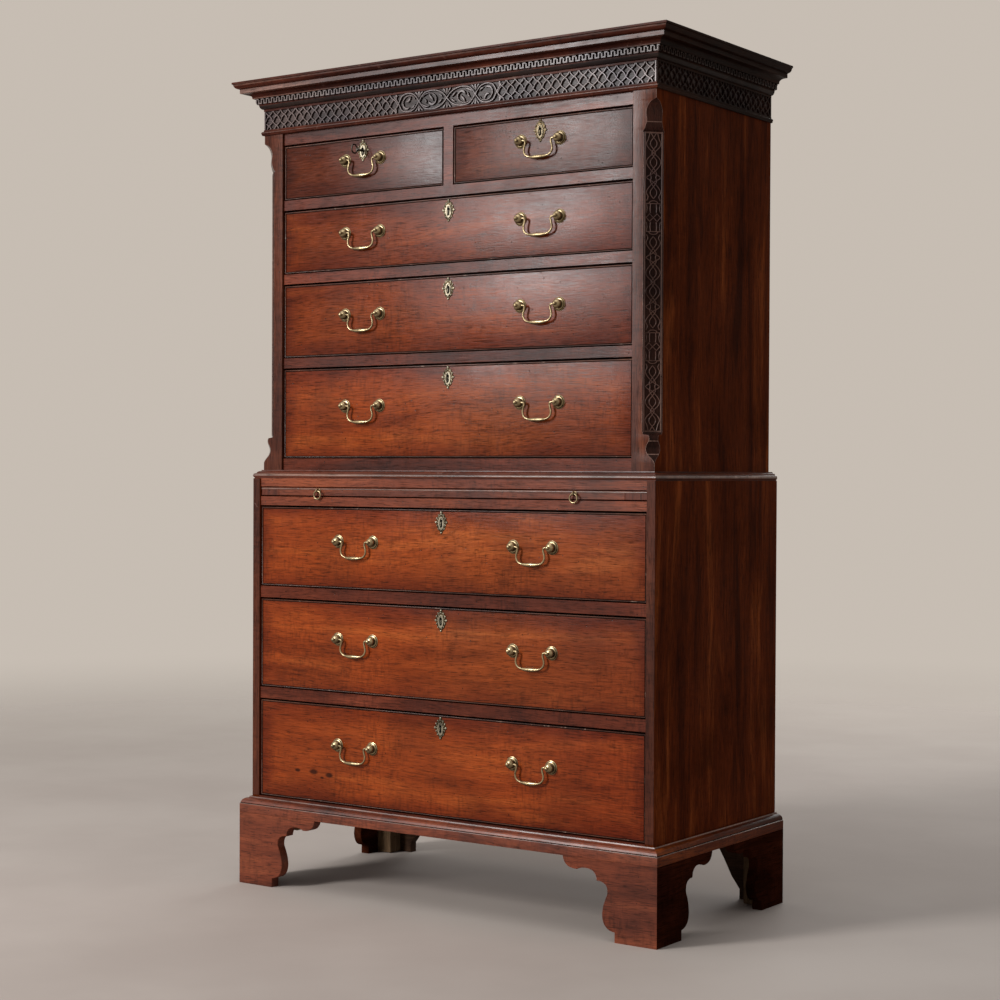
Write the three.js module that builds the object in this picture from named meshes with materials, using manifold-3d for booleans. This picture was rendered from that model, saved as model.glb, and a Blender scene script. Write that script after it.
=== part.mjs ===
import * as THREE from 'three';
import { mergeVertices } from 'three/addons/utils/BufferGeometryUtils.js';
import Module from 'manifold-3d';

// A mahogany chest on chest. The upper case has canted corners, five drawers, a frieze and a cornice.
// It stands on a lower case with a brushing slide, three long drawers and shaped bracket feet.
// Millimetres. +X is to the right of someone facing the front, +Y is to the back, +Z is up.
// Places are worked out with y = 0 on the front edges of the lower case, x = 0 in the middle and
// z = 0 on the floor. The whole is then moved so that its origin is the middle of its footprint.

const wasm = await Module();
wasm.setup();

// Cases
const lowerWidth = 1040;
const lowerDepth = 507;
const upperSideSetback = 14;
const upperFrontSetback = 19;
const upperBackSetback = 12;
const sideThickness = 20;
const backThickness = 12;
const postWidth = 53;
const postDepth = 45;
const railDepth = 40;
const dustboardThickness = 10;
const lowerRailRecess = 3;
const upperRailRecess = 5;
const guideHeight = 20;

// Heights of the lower case, from the floor up. The drawer openings are listed from the bottom up.
const footHeight = 158;
const bottomRailHeight = 37.5;
const bottomBoardThickness = 18;
const lowerOpenings = [218, 199.5, 179.5];
const lowerRailHeight = 25;
const slideRailHeight = 19.5;
const slideOpening = 22;
const lowerTopThickness = 18;

// Heights of the upper case
const upperBottomRailHeight = 44;
const upperBoardThickness = 18;
const upperOpenings = [199.5, 163.5, 141, 123];
const upperRailHeight = 22;
const topRailHeight = 25;
const partitionWidth = 24;
const friezeHeight = 58;
const friezeThickness = 20;
const corniceHeight = 58;
const corniceProjection = 52;
const dustCoverThickness = 10;
const dustCoverDrop = 8;

// Mouldings
const astragalHeight = 13;
const astragalProjection = 5.5;
const waistHeight = 18.5;
const baseProjection = 20;
const baseHeight = 34.5;

// Canted corners: the chamfer dies out in a lamb's tongue at each end
const cantDepth = 26;
const cantEdge = 0.6;
const topStopHeight = 85;
const topStopDrop = 0;
const bottomStopHeight = 61;
const bottomStopRise = 34;

// Bracket feet
const footSpread = 218;
const footThickness = 22;
const rearBracketSpread = 175;
const cornerBlock = 40;

// Drawers
const frontThickness = 20;
const beadWidth = 3;
const beadProud = 1;
const drawerRecess = 1.5;
const sideGap = 1.5;
const topGap = 2;
const bottomGap = 1.5;
const runningGap = 0.3;
const liningThickness = 10;
const drawerBottomThickness = 7;
const drawerBottomRise = 8;
const liningDrop = 9;
const upperDrawerBackGap = 16.5;
const lowerDrawerBackGap = 19.5;

// Handles: the places of the posts above each opening's bottom run as the openings do
const handleOffset = 230;
const handleBoring = 95;
const lowerPostRises = [129.5, 116.5, 103.5];
const upperPostRises = [113.5, 89, 80, 74];
const roseRadius = 14.4;
const pommelRadius = 9.6;
const postProjection = 22.5;
const hingeOut = 9;
const bailDrop = 35.5;
const bailHalfWidth = 34.5;
const bailWireRadius = 1.9;
const bailGripRadius = 3.9;
const bailGripHalfLength = 17;
const pinRadius = 1.8;
const pinClearance = 0.4;
const pinLength = 3.5;
const socketDepth = 5;

// Locks
const escutcheonDrop = 30.5;
const escutcheonWidth = 32;
const escutcheonHeight = 48;
const escutcheonThickness = 1.5;
const lockWidth = 60;
const lockHeight = 36;
const lockThickness = 14;
const keyholeRadius = 3.2;
const keyholeSlotWidth = 3.4;
const chamberRadius = 13;
const chamberWall = 2;
const keyStemRadius = 2.6;
const keyBitReach = 11;
const keyBitWidth = 8;
const keyBitThickness = 2.6;
const keyBitClearance = 1.5;
const keyBowOut = 30;
const keyBowRadius = 10;
const keyBowFlatShare = 0.87;
const keyBowWireRadius = 1.7;
const keyCollarRadius = 4.2;
const keyCollarLength = 3;

// Brushing slide and its ring pulls
const slideBackGap = 53.5;
const slideTopGap = 2;
const pullOffset = 332;
const eyeDrop = 6;
const eyeOut = 6.5;
const eyeRadius = 3.4;
const eyeWireRadius = 1.1;
const eyeShankRadius = 1.7;
const eyePlateRadius = 4.6;
const eyePlateThickness = 1.2;
const ringRadius = 9.8;
const ringWireRadius = 1.3;

// A cut or a joined piece runs this much past the face that it meets
const overrun = 1;
// A piece that rests against a neighbour keeps this gap
const seatGap = 0.3;

// Facets of round pieces
const postFacets = 8;
const pinFacets = 8;
const bailFacets = 6;
const bailSteps = 20;
const ringFacets = 8;
const ringSteps = 20;
const eyeFacets = 6;
const eyeSteps = 12;
const chamberFacets = 12;
const curveSteps = 4;

// Worked out: the lower case
const lowerHalf = lowerWidth / 2;
const lowerInner = lowerHalf - sideThickness;
const lowerBackFace = lowerDepth - backThickness;
const lowerFloor = footHeight + bottomRailHeight;
const lowerBays = stack(lowerFloor, lowerOpenings, lowerRailHeight);
const slideRailBottom = lowerBays[lowerBays.length - 1].top;
const slideFloor = slideRailBottom + slideRailHeight;
const lowerTopBottom = slideFloor + slideOpening;
const lowerTop = lowerTopBottom + lowerTopThickness;

// Worked out: the upper case
const upperHalf = lowerHalf - upperSideSetback;
const upperInner = upperHalf - sideThickness;
const upperOpeningHalf = upperHalf - postWidth;
const upperFront = upperFrontSetback;
const upperBack = lowerDepth - upperBackSetback;
const upperBackFace = upperBack - backThickness;
const postBack = upperFront + postDepth;
const upperFloor = lowerTop + upperBottomRailHeight;
const upperBays = stack(upperFloor, upperOpenings, upperRailHeight);
const topRailBottom = upperBays[upperBays.length - 1].top;
const friezeBottom = topRailBottom + topRailHeight;
const corniceBottom = friezeBottom + friezeHeight;
const totalHeight = corniceBottom + corniceHeight;

// Worked out: the faces that the drawers show, and the middle of the footprint
const lowerRailFront = lowerRailRecess;
const upperRailFront = upperFront + upperRailRecess;
const lowerFace = lowerRailFront + drawerRecess + beadProud;
const upperFace = upperRailFront + drawerRecess + beadProud;
const slideFace = lowerRailFront + drawerRecess;
const lowerDrawerDepth = lowerBackFace - lowerDrawerBackGap - lowerFace;
const upperDrawerDepth = upperBackFace - upperDrawerBackGap - upperFace;
const slideDepth = lowerBackFace - slideBackGap - slideFace;
const foremost = Math.min(
  upperFront - corniceProjection,
  -baseProjection,
  lowerFace - postProjection,
  upperFace - keyBowOut - keyBowRadius,
);
const footprintMiddle = (foremost + lowerDepth) / 2;

// Bays of a case: the bottom and top of each opening, with a rail between one and the next
function stack(floor, openings, railHeight) {
  const bays = [];
  let bottom = floor;
  for (const height of openings) {
    bays.push({ bottom, top: bottom + height });
    bottom += height + railHeight;
  }
  return bays;
}

// Turns the faces outwards if they all point in
function facingOut(geometry) {
  const place = geometry.attributes.position;
  const index = geometry.index.array;
  const a = new THREE.Vector3();
  const b = new THREE.Vector3();
  const c = new THREE.Vector3();
  let volume = 0;
  for (let i = 0; i < index.length; i += 3) {
    a.fromBufferAttribute(place, index[i]);
    b.fromBufferAttribute(place, index[i + 1]);
    c.fromBufferAttribute(place, index[i + 2]);
    volume += a.dot(b.cross(c));
  }
  if (volume < 0) {
    for (let i = 0; i < index.length; i += 3) {
      [index[i], index[i + 1]] = [index[i + 1], index[i]];
    }
  }
  return geometry;
}

// The faces that close one end of a loft, wound as its ring is or the other way round
function endFaces(ring, axis, first, alongRing) {
  const skipped = 'xyz'.indexOf(axis);
  const flat = ring.map((p) => new THREE.Vector2(...p.filter((_, i) => i !== skipped)));
  const ringTurnsLeft = THREE.ShapeUtils.area(flat) > 0;
  const faces = [];
  for (const [i, j, k] of THREE.ShapeUtils.triangulateShape(flat, [])) {
    const faceTurnsLeft = THREE.ShapeUtils.area([flat[i], flat[j], flat[k]]) > 0;
    const keep = (faceTurnsLeft === ringTurnsLeft) === alongRing;
    faces.push(first + i, first + (keep ? j : k), first + (keep ? k : j));
  }
  return faces;
}

// A closed solid through rings of equally many points. Its two ends are flat and square to an axis.
function loft(rings, axis) {
  const count = rings[0].length;
  const index = [];
  for (let r = 0; r + 1 < rings.length; r += 1) {
    for (let i = 0; i < count; i += 1) {
      const a = r * count + i;
      const b = r * count + ((i + 1) % count);
      index.push(a, b, b + count);
      index.push(a, b + count, a + count);
    }
  }
  index.push(...endFaces(rings[0], axis, 0, false));
  index.push(...endFaces(rings[rings.length - 1], axis, (rings.length - 1) * count, true));
  const geometry = new THREE.BufferGeometry();
  geometry.setAttribute('position', new THREE.Float32BufferAttribute(rings.flat(2), 3));
  geometry.setIndex(index);
  return facingOut(geometry);
}

// Places an outline's point in space, at a station along the axis that the outline is square to
const stations = {
  x: ([y, z], x) => [x, y, z],
  y: ([x, z], y) => [x, y, z],
  z: ([x, y], z) => [x, y, z],
};

function prism(axis, outline, from, to) {
  const place = stations[axis];
  return loft([outline.map((p) => place(p, from)), outline.map((p) => place(p, to))], axis);
}

function rectangle([left, right], [low, high]) {
  return [[left, low], [right, low], [right, high], [left, high]];
}

function board(xs, ys, zs) {
  return prism('z', rectangle(xs, ys), zs[0], zs[1]);
}

// The points of a half outline and of its mirror image across x = 0
function mirrored(half) {
  const other = half.filter(([x]) => x !== 0).map(([x, z]) => [-x, z]);
  return [...half, ...other.reverse()];
}

function toSolid(geometry) {
  const bare = geometry.clone();
  bare.deleteAttribute('normal');
  bare.deleteAttribute('uv');
  const merged = mergeVertices(bare);
  const whole = [];
  const index = merged.index.array;
  for (let i = 0; i < index.length; i += 3) {
    const [a, b, c] = index.slice(i, i + 3);
    if (a !== b && b !== c && c !== a) {
      whole.push(a, b, c);
    }
  }
  const mesh = new wasm.Mesh({
    numProp: 3,
    vertProperties: new Float32Array(merged.attributes.position.array),
    triVerts: new Uint32Array(whole),
  });
  return new wasm.Manifold(mesh);
}

function toGeometry(solid) {
  const mesh = solid.getMesh();
  const geometry = new THREE.BufferGeometry();
  geometry.setAttribute('position', new THREE.Float32BufferAttribute(mesh.vertProperties, 3));
  geometry.setIndex([...mesh.triVerts]);
  return geometry;
}

// One piece made of joined geometries, less the cuts
function carve(joined, cuts = []) {
  let solid = toSolid(joined[0]);
  for (const geometry of joined.slice(1)) {
    solid = solid.add(toSolid(geometry));
  }
  for (const geometry of cuts) {
    solid = solid.subtract(toSolid(geometry));
  }
  return toGeometry(solid);
}

// A moulding mitred round the front and both sides. A profile point is how far it stands out from the
// case and how high it is. sideRatio is how much of the way out it goes at the sides.
function mouldingRun(profile, halfWidth, front, back, sideRatio = 1) {
  const side = (out) => halfWidth + out * sideRatio;
  return loft([
    profile.map(([out, z]) => [-side(out), back, z]),
    profile.map(([out, z]) => [-side(out), front - out, z]),
    profile.map(([out, z]) => [side(out), front - out, z]),
    profile.map(([out, z]) => [side(out), back, z]),
  ], 'y');
}

// Upper case: the canted posts. The table gives the chamfer's depth down a stop, as shares.
const topStopShares = [
  [0.23, 0], [0.27, 0.4], [0.35, 0.69], [0.48, 0.88], [0.63, 0.86],
  [0.73, 0.8], [0.88, 1.02], [0.94, 1.15], [1, 1],
];
const bottomStopShares = [
  [1, 1], [0.89, 0.85], [0.79, 0.58], [0.59, 0.62], [0.36, 0.65], [0.21, 0.5], [0.08, 0.17], [0, 0],
];

function cornerPost(side) {
  const top = friezeBottom;
  const bottom = lowerTop;
  const stopTop = top - topStopDrop;
  const cantAt = (share) => cantEdge + share * (cantDepth - cantEdge);
  const levels = [
    [top, cantAt(0)],
    ...topStopShares.map(([down, share]) => [stopTop - down * topStopHeight, cantAt(share)]),
    ...bottomStopShares.map(([up, share]) => [
      bottom + bottomStopRise + up * bottomStopHeight,
      cantAt(share),
    ]),
    [bottom, cantAt(0)],
  ];
  return loft(levels.map(([z, cant]) => [
    [side * upperOpeningHalf, upperFront, z],
    [side * (upperHalf - cant), upperFront, z],
    [side * upperHalf, upperFront + cant, z],
    [side * upperHalf, postBack, z],
    [side * upperOpeningHalf, postBack, z],
  ]), 'z');
}

// A side board of the upper case with a guide for each drawer
function upperSide(side) {
  const span = (from, to) => (side > 0 ? [from, to] : [-to, -from]);
  const whole = board(span(upperInner, upperHalf), [postBack, upperBack], [lowerTop, friezeBottom]);
  const guides = upperBays.map((bay) => board(
    span(upperOpeningHalf, upperInner + overrun),
    [postBack, upperBackFace],
    [bay.bottom, bay.bottom + guideHeight],
  ));
  return carve([whole, ...guides]);
}

// A rail between the posts with the board behind it, which the drawer above runs on
function upperShelf([railBottom, railTop], boardThickness) {
  const rail = board(
    [-upperOpeningHalf, upperOpeningHalf],
    [upperRailFront, postBack + overrun],
    [railBottom, railTop],
  );
  const shelf = board(
    [-upperInner, upperInner],
    [postBack, upperBackFace],
    [railTop - boardThickness, railTop],
  );
  return [rail, shelf];
}

function upperRail(index) {
  const bay = upperBays[index];
  const rail = upperShelf([bay.top, bay.top + upperRailHeight], dustboardThickness);
  if (index + 2 < upperBays.length) {
    return carve(rail);
  }
  const above = upperBays[index + 1];
  const partition = board(
    [-partitionWidth / 2, partitionWidth / 2],
    [upperRailFront, upperBackFace],
    [above.bottom - overrun, above.top],
  );
  return carve([...rail, partition]);
}

// Upper case: the frieze, with the astragal along its foot and a plain board across its back
const astragalShares = [
  [0.55, 0], [0.9, 0.12], [1, 0.4], [0.95, 0.62], [0.6, 0.8], [0.3, 0.86], [0.25, 1], [0, 1],
];

function frieze() {
  const profile = [
    [-friezeThickness, friezeBottom],
    ...astragalShares.map(([out, up]) => [out * astragalProjection, friezeBottom + up * astragalHeight]),
    [0, corniceBottom],
    [-friezeThickness, corniceBottom],
  ];
  const run = mouldingRun(profile, upperHalf, upperFront, upperBack);
  const inner = upperHalf - friezeThickness;
  const across = board(
    [-inner - overrun, inner + overrun],
    [upperBack - friezeThickness, upperBack],
    [friezeBottom, corniceBottom],
  );
  return carve([run, across]);
}

// Upper case: the cornice, with the dust cover that closes it on top
const corniceShares = [
  [0.03, 0], [0.07, 0.09], [0.15, 0.17], [0.28, 0.18], [0.3, 0.39], [0.4, 0.41], [0.43, 0.49], [0.49, 0.55],
  [0.56, 0.58], [0.75, 0.59], [0.76, 0.73], [0.8, 0.75], [0.84, 0.82],
  [0.93, 0.88], [0.98, 0.93], [1, 0.93], [1, 1],
];

function cornice() {
  const profile = [
    [-friezeThickness, corniceBottom],
    ...corniceShares.map(([out, up]) => [out * corniceProjection, corniceBottom + up * corniceHeight]),
    [-friezeThickness, totalHeight],
  ];
  const run = mouldingRun(profile, upperHalf, upperFront, upperBack);
  const inner = upperHalf - friezeThickness;
  const coverTop = totalHeight - dustCoverDrop;
  const cover = board(
    [-inner - overrun, inner + overrun],
    [upperFront + friezeThickness - overrun, upperBack],
    [coverTop - dustCoverThickness, coverTop],
  );
  const across = board(
    [-inner - overrun, inner + overrun],
    [upperBack - friezeThickness, upperBack],
    [corniceBottom, coverTop],
  );
  return carve([run, cover, across]);
}

// Lower case: the moulding that the upper case drops into. Shares of the setback and of the height.
const waistShares = [
  [-0.82, 1], [-0.79, 0.9], [-0.7, 0.8], [-0.5, 0.7],
  [-0.34, 0.66], [-0.16, 0.64], [-0.03, 0.52], [0.03, 0.34],
  [-0.03, 0.16], [-0.13, 0.08], [-0.13, 0],
];

function waistMoulding() {
  const inner = seatGap - upperFrontSetback;
  const profile = [
    [inner, lowerTop],
    [inner, lowerTop + waistHeight],
    ...waistShares.map(([out, up]) => [out * upperFrontSetback, lowerTop + up * waistHeight]),
  ];
  return mouldingRun(profile, lowerHalf, 0, lowerDepth, upperSideSetback / upperFrontSetback);
}

// A lower rail with the board behind it, of one section from side to side
function lowerShelf([railBottom, railTop], front, boardThickness) {
  const section = [
    [front, railBottom],
    [front, railTop],
    [lowerBackFace, railTop],
    [lowerBackFace, railTop - boardThickness],
    [front + railDepth, railTop - boardThickness],
    [front + railDepth, railBottom],
  ];
  return prism('x', section, -lowerInner, lowerInner);
}

function lowerRail(index) {
  const bay = lowerBays[index];
  return lowerShelf([bay.top, bay.top + lowerRailHeight], lowerRailFront, dustboardThickness);
}

// Lower case: the base moulding and the plain apron under it
const baseShares = [
  [1, 0.55], [0.97, 0.68], [0.85, 0.8], [0.6, 0.9], [0.32, 0.935], [0.25, 0.94], [0.22, 1],
];

function baseMoulding() {
  const profile = [
    [0, footHeight],
    [baseProjection, footHeight],
    ...baseShares.map(([out, up]) => [out * baseProjection, footHeight + up * baseHeight]),
    [0, footHeight + baseHeight],
  ];
  return mouldingRun(profile, lowerHalf, 0, lowerDepth);
}

// A bracket foot's inner edge, from the floor to the apron: each row is the curve's control point and
// its end, as shares of the spread and of the height
const footToeShares = [[0.44, 0], [0.44, 0.127]];
const footCurveShares = [
  [[0.57, 0.14], [0.573, 0.33]],
  [[0.57, 0.44], [0.52, 0.58]],
  [[0.5, 0.74], [0.633, 0.741]],
  [[0.64, 0.87], [0.735, 0.877]],
  [[0.8, 0.885], [0.845, 0.85]],
  [[0.985, 0.84], [1, 1]],
];
const rearBracketShares = [
  [0, 0], [0.53, 0], [0.53, 0.14], [0.64, 0.3], [0.75, 0.53], [0.88, 0.78], [1, 1], [0, 1],
];

function footOutline() {
  const edge = new THREE.Shape();
  edge.moveTo(0, 0);
  for (const [out, up] of footToeShares) {
    edge.lineTo(out * footSpread, up * footHeight);
  }
  for (const [[bendOut, bendUp], [out, up]] of footCurveShares) {
    edge.quadraticCurveTo(bendOut * footSpread, bendUp * footHeight, out * footSpread, up * footHeight);
  }
  edge.lineTo(0, footHeight);
  return edge.getPoints(curveSteps).map(({ x, y }) => [x, y]);
}

// Two brackets and the block in their corner. end is -1 at the front and 1 at the back.
function foot(side, end) {
  const corner = side * (lowerHalf + baseProjection);
  const face = end < 0 ? -baseProjection : lowerDepth;
  const inward = (distance) => corner - side * distance;
  const along = (distance) => face - end * distance;
  const plain = rearBracketShares.map(([out, up]) => [out * rearBracketSpread, up * footHeight]);
  const facing = (end < 0 ? footOutline() : plain).map(([out, z]) => [inward(out), z]);
  const flank = footOutline().map(([out, z]) => [along(out), z]);
  const block = footThickness + cornerBlock;
  const ordered = (a, b) => [Math.min(a, b), Math.max(a, b)];
  return carve([
    prism('y', facing, along(0), along(footThickness)),
    prism('x', flank, inward(0), inward(footThickness)),
    board(
      ordered(inward(footThickness - overrun), inward(block)),
      ordered(along(footThickness - overrun), along(block)),
      [0, footHeight],
    ),
  ]);
}

// A handle's post, from the face outwards: the rose, the pommel and the small ball in front of it.
// Shares of the rose's radius and of the projection.
const postShares = [
  [1, 0.06], [0.82, 0.13], [0.62, 0.19], [0.67, 0.36], [0.6, 0.54],
  [0.36, 0.68], [0.2, 0.74], [0.28, 0.86], [0.17, 0.97], [0, 1],
];

function handlePost(x, z) {
  const profile = [
    new THREE.Vector2(0, -overrun),
    new THREE.Vector2(roseRadius, -overrun),
    ...postShares.map(([out, along]) => new THREE.Vector2(out * roseRadius, along * postProjection)),
  ];
  const geometry = new THREE.LatheGeometry(profile, postFacets);
  geometry.rotateX(Math.PI);
  geometry.translate(x, 0, z);
  return geometry;
}

// The hole in the pommel that a bail's end turns in. side is the way from the bail to the post.
function pinSocket(x, z, side) {
  const length = socketDepth + overrun;
  const radius = pinRadius + pinClearance;
  const geometry = new THREE.CylinderGeometry(radius, radius, length, pinFacets);
  geometry.rotateZ(Math.PI / 2);
  geometry.translate(x - side * (pommelRadius - socketDepth + length / 2), -hingeOut, z);
  return geometry;
}

// Half of a lock plate's wavy outline, from its top to its foot, as shares of half its width and height
const escutcheonShares = [
  [0, 1], [0.22, 0.84], [0.62, 0.74], [0.92, 0.42], [0.72, 0.14],
  [1, -0.12], [0.74, -0.5], [0.34, -0.7], [0, -1],
];

function escutcheon(x, z) {
  const half = escutcheonShares.map(([out, up]) => [out * escutcheonWidth / 2, up * escutcheonHeight / 2]);
  const outline = mirrored(half).map(([u, v]) => [x + u, z + v]);
  return prism('y', outline, -escutcheonThickness, overrun);
}

function cylinderAlongY(radius, facets, [from, to], x, z) {
  const geometry = new THREE.CylinderGeometry(radius, radius, to - from, facets);
  geometry.translate(0, (from + to) / 2, 0);
  geometry.rotateY(Math.PI / facets);
  geometry.translate(x, 0, z);
  return geometry;
}

// The hole for the key: round for its stem, with a slot below for its bit
function keyhole(x, z, depth) {
  const reach = [-escutcheonThickness - overrun, depth];
  const slot = board(
    [x - keyholeSlotWidth / 2, x + keyholeSlotWidth / 2],
    reach,
    [z - keyBitReach - overrun, z],
  );
  return [cylinderAlongY(keyholeRadius, pinFacets, reach, x, z), slot];
}

// A drawer's front with its cock bead, handle posts, lock and lock plate.
// Drawers are drawn with x = 0 in the middle, y = 0 on the face and z = 0 at the opening's bottom.
function drawerFront(drawer) {
  const half = drawer.width / 2 - sideGap;
  const edge = (inset, y) => rectangle(
    [-half + inset, half - inset],
    [bottomGap + inset, drawer.height - topGap - inset],
  ).map(([x, z]) => [x, y, z]);
  const panel = loft([
    edge(0, frontThickness),
    edge(0, -beadProud),
    edge(beadWidth, -beadProud),
    edge(beadWidth, 0),
  ], 'y');
  const lockZ = drawer.height - escutcheonDrop;
  const lockBack = frontThickness + lockThickness;
  const lock = board(
    [drawer.lockX - lockWidth / 2, drawer.lockX + lockWidth / 2],
    [frontThickness - overrun, lockBack],
    [lockZ - lockHeight / 2, lockZ + lockHeight / 2],
  );
  const chamber = [frontThickness, lockBack - chamberWall];
  const joined = [panel, lock, escutcheon(drawer.lockX, lockZ)];
  const cuts = [
    ...keyhole(drawer.lockX, lockZ, frontThickness + overrun),
    cylinderAlongY(chamberRadius, chamberFacets, chamber, drawer.lockX, lockZ),
  ];
  for (const x of drawer.handles) {
    for (const side of [-1, 1]) {
      const postX = x + side * handleBoring / 2;
      joined.push(handlePost(postX, drawer.postRise));
      cuts.push(pinSocket(postX, drawer.postRise, side));
    }
  }
  return carve(joined, cuts);
}

// The sides, back and bottom of a drawer, which its front closes
function drawerBox(drawer) {
  const half = drawer.width / 2 - sideGap;
  const top = drawer.height - liningDrop;
  const inner = half - liningThickness;
  const floor = runningGap + drawerBottomRise;
  const ys = [frontThickness, drawer.depth];
  return carve(
    [board([-half, half], ys, [runningGap, top])],
    [
      board(
        [-inner, inner],
        [frontThickness - overrun, drawer.depth - liningThickness],
        [floor + drawerBottomThickness, top + overrun],
      ),
      board([-inner, inner], [frontThickness - overrun, drawer.depth + overrun], [0, floor]),
    ],
  );
}

// The bail's centre line from the middle of its grip to the end in the right post, as shares of the
// half width and of the drop
const bailShares = [
  [0, 1], [0.36, 0.99], [0.66, 0.96], [0.88, 0.86], [0.99, 0.68], [1, 0.5], [0.955, 0.3],
  [0.93, 0.14], [0.975, 0.02],
];

function bail() {
  const pinStart = handleBoring / 2 - pommelRadius;
  const pinEnd = pinStart + pinLength;
  const half = [
    ...bailShares.map(([out, down]) => [out * bailHalfWidth, -down * bailDrop]),
    [pinStart, 0],
    [pinEnd, 0],
  ];
  const other = half.slice(1).map(([x, z]) => [-x, z]).reverse();
  const line = new THREE.CatmullRomCurve3([...other, ...half].map(([x, z]) => new THREE.Vector3(x, 0, z)));
  const rings = [];
  for (let step = 0; step <= bailSteps; step += 1) {
    const share = step / bailSteps;
    const centre = line.getPointAt(share);
    const ahead = line.getTangentAt(share);
    const nearGrip = Math.max(0, 1 - Math.abs(centre.x) / bailGripHalfLength);
    const grips = centre.z < -bailDrop / 2 ? Math.sin(nearGrip * Math.PI / 2) : 0;
    const atEnd = Math.abs(centre.x) > bailHalfWidth;
    const wire = atEnd ? pinRadius : bailWireRadius;
    const radius = wire + grips * (bailGripRadius - bailWireRadius);
    const ring = [];
    for (let i = 0; i < bailFacets; i += 1) {
      const angle = (i * 2 * Math.PI) / bailFacets;
      const inPlane = Math.cos(angle) * radius;
      const acrossPlane = Math.sin(angle) * radius;
      ring.push([centre.x - ahead.z * inPlane, acrossPlane, centre.z + ahead.x * inPlane]);
    }
    rings.push(ring);
  }
  return loft(rings, 'x');
}

// The key, with its bit down and its bow upright, drawn with its stem on the y axis
function key() {
  const bow = new THREE.TorusGeometry(keyBowRadius, keyBowWireRadius, eyeFacets, ringSteps);
  bow.rotateY(Math.PI / 2);
  bow.scale(1, keyBowFlatShare, 1);
  bow.translate(0, -keyBowOut, 0);
  const bowEdge = -keyBowOut + keyBowRadius * keyBowFlatShare;
  const tip = frontThickness + lockThickness - chamberWall - keyBitClearance;
  const stem = cylinderAlongY(keyStemRadius, pinFacets, [bowEdge - overrun, tip], 0, 0);
  const collar = cylinderAlongY(keyCollarRadius, pinFacets, [bowEdge, bowEdge + keyCollarLength], 0, 0);
  const bit = board(
    [-keyBitThickness / 2, keyBitThickness / 2],
    [tip - keyBitWidth, tip],
    [-keyBitReach, 0],
  );
  return carve([stem, collar, bow, bit]);
}

// The brushing slide with the eyes of its ring pulls. It is drawn with y = 0 on its front.
function brushingSlide() {
  const half = lowerInner - sideGap;
  const thickness = slideOpening - slideTopGap;
  const plank = board([-half, half], [0, slideDepth], [runningGap, thickness]);
  const joined = [plank];
  for (const side of [-1, 1]) {
    const x = side * pullOffset;
    const z = thickness - eyeDrop;
    const eye = new THREE.TorusGeometry(eyeRadius, eyeWireRadius, eyeFacets, eyeSteps);
    eye.rotateY(Math.PI / 2);
    eye.translate(x, -eyeOut, z);
    const shankEnd = -eyeOut + eyeRadius;
    joined.push(cylinderAlongY(eyePlateRadius, pinFacets, [-eyePlateThickness, overrun], x, z));
    joined.push(cylinderAlongY(eyeShankRadius, pinFacets, [shankEnd, overrun], x, z));
    joined.push(eye);
  }
  return carve(joined);
}

// A ring pull, drawn with the top of its wire at the origin
function ringPull() {
  const ring = new THREE.TorusGeometry(ringRadius, ringWireRadius, ringFacets, ringSteps);
  ring.rotateX(Math.PI / 2);
  ring.translate(0, 0, -ringRadius);
  return ring;
}

// Materials
const finishes = {
  front: { color: 0x7a3a22, roughness: 0.42, metalness: 0 },
  case: { color: 0x45200f, roughness: 0.45, metalness: 0 },
  moulding: { color: 0x3a1a10, roughness: 0.5, metalness: 0 },
  lining: { color: 0x9a7448, roughness: 0.75, metalness: 0 },
  brass: { color: 0xb08d4a, roughness: 0.35, metalness: 1 },
  iron: { color: 0x2c2926, roughness: 0.55, metalness: 1 },
};

function piece(name, geometry, finish) {
  const material = new THREE.MeshStandardMaterial({ ...finishes[finish], flatShading: true });
  const mesh = new THREE.Mesh(geometry, material);
  mesh.name = name;
  return mesh;
}

function upperCase() {
  const group = new THREE.Group();
  for (const [hand, side] of [['left', -1], ['right', 1]]) {
    group.add(piece(`upper_side_${hand}`, upperSide(side), 'case'));
    group.add(piece(`corner_post_${hand}`, cornerPost(side), 'moulding'));
  }
  const back = board([-upperInner, upperInner], [upperBackFace, upperBack], [lowerTop, friezeBottom]);
  group.add(piece('upper_back', back, 'lining'));
  const bottom = upperShelf([lowerTop, upperFloor], upperBoardThickness);
  group.add(piece('upper_bottom', carve(bottom), 'case'));
  const top = upperShelf([topRailBottom, friezeBottom], upperBoardThickness);
  group.add(piece('upper_top', carve(top), 'case'));
  for (let index = 0; index + 1 < upperBays.length; index += 1) {
    group.add(piece(`upper_rail_${index + 1}`, upperRail(index), 'case'));
  }
  group.add(piece('frieze', frieze(), 'moulding'));
  group.add(piece('cornice', cornice(), 'moulding'));
  return group;
}

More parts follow.
